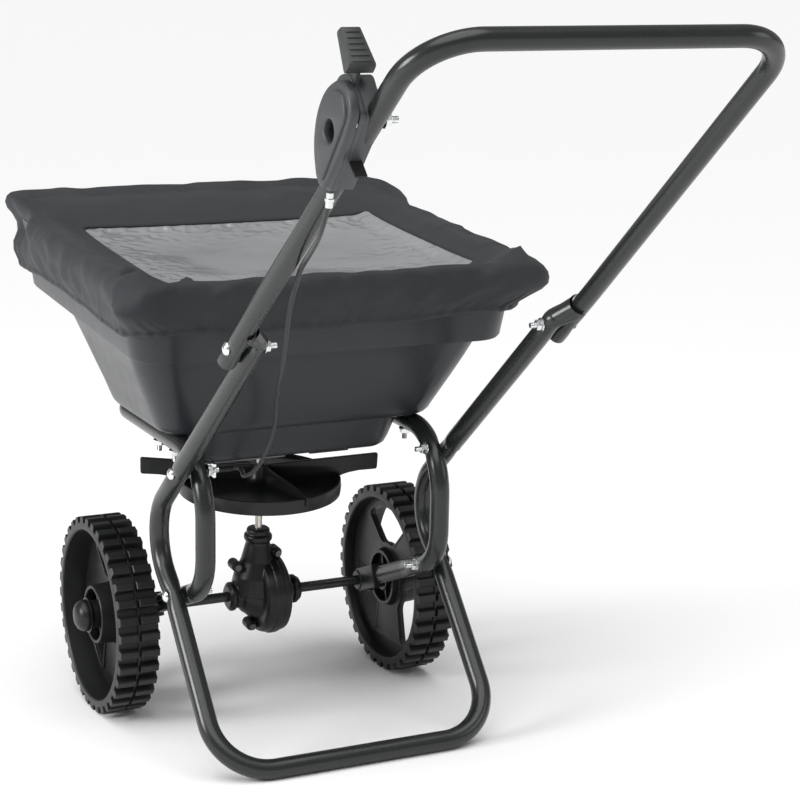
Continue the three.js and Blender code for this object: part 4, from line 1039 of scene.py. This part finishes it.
def cable():
    low = from_leaning(-100, 197)
    points = [Vector(p) for p in CABLE_POINTS]
    points += [Vector((-66.7, low.x - 4, low.y - 1.5)), Vector((-72.2, *low)), Vector((-75.7, *low))]
    line = []
    padded = [points[0] * 2 - points[1], *points, points[-1] * 2 - points[-2]]
    for a, b, c, d in zip(padded, padded[1:], padded[2:], padded[3:]):
        for k in range(8):
            t = k / 8
            line.append(0.5 * (2 * b + (c - a) * t + (2 * a - 5 * b + 4 * c - d) * t * t
                               + (3 * b - a - 3 * c + d) * t ** 3))
    line.append(points[-1])
    make("cable", sweep(line, 2.5, (1, 0, 0), 16, depth=0), MACHINE, CABLE, "frame", ["control_cable"],
         "black_plastic", sharp=60)


# ------------------------------------------------------------------ CAD pieces shown as they are
def finish_cad():
    """Gives every CAD piece its finish. Gearbox screws and the shutter get a very dark metal: painted shade,
    so they show no bright highlights.
    """
    looks = {"painted_steel": PAINT, "hopper_plastic": HOPPER, "black_plastic": BLACK, "grey_plastic": GREY,
             "zinc": ZINC, "steel": STEEL, "cover_fabric": CLOTH, "clear_film": FILM}
    slots = {s["node"]: s["material_slot"] for s in frame["record"]["subparts"]}
    for name, node in frame["nodes"].items():
        node.data.materials.clear()
        # The gearbox screws and the shutter take the very dark metal, which is painted shade.
        painted_shade_part = name.startswith(("gearbox_screw", "shutter_plate", "shutter_wire"))
        node.data.materials.append(SHADE_DARKENED_METAL if painted_shade_part else looks[slots[name]])


# ------------------------------------------------------------------ studio
def studio():
    world = bpy.data.worlds.new("studio")
    bpy.context.scene.world = world
    world.use_nodes = True
    world.node_tree.nodes["Background"].inputs["Color"].default_value = (1, 1, 1, 1)
    world.node_tree.nodes["Background"].inputs["Strength"].default_value = 0.32
    bpy.ops.mesh.primitive_plane_add(size=600, location=(0, 0, 0))
    floor = bpy.context.object
    floor.name = "floor"
    floor.data.materials.append(surface("floor_white", (0.93, 0.93, 0.93), 0.9, grain=30, bump=0.0, shade=0.0,
                                        specular=0.1))
    sky = bpy.data.lights.new("overhead", "SUN")
    sky.energy = 2.35
    sky.angle = math.radians(70)
    holder = bpy.data.objects.new("overhead", sky)
    holder.rotation_euler = (math.radians(14), math.radians(-10), 0)
    bpy.context.scene.collection.objects.link(holder)
    for name, spot, size, power in (("key", (-2.6, 0.1, 1.3), 1.0, 44), ("fill", (2.4, -1.8, 1.4), 1.2, 8)):
        lamp = bpy.data.lights.new(name, "AREA")
        lamp.size = size
        lamp.energy = power
        holder = bpy.data.objects.new(name, lamp)
        holder.location = spot
        holder.rotation_euler = (Vector((0, 0.1, 0.4)) - Vector(spot)).to_track_quat("-Z", "Y").to_euler()
        bpy.context.scene.collection.objects.link(holder)
    lens = bpy.data.cameras.new("camera")
    lens.sensor_width = 36
    lens.lens = 97.12
    camera = bpy.data.objects.new("camera", lens)
    camera.location = (-0.9424, -2.3296 + AXLE_Y * MM, 0.8310)
    camera.rotation_euler = (math.radians(79.17), 0, math.radians(-25.97))
    bpy.context.scene.collection.objects.link(camera)
    bpy.context.scene.camera = camera
    bpy.context.scene.view_settings.view_transform = "Standard"


finish_cad()
frame_tubes()
cross_bolts()
running_gear()
gearbox()
spinner()
hopper()
cover()
control()
cable()
studio()
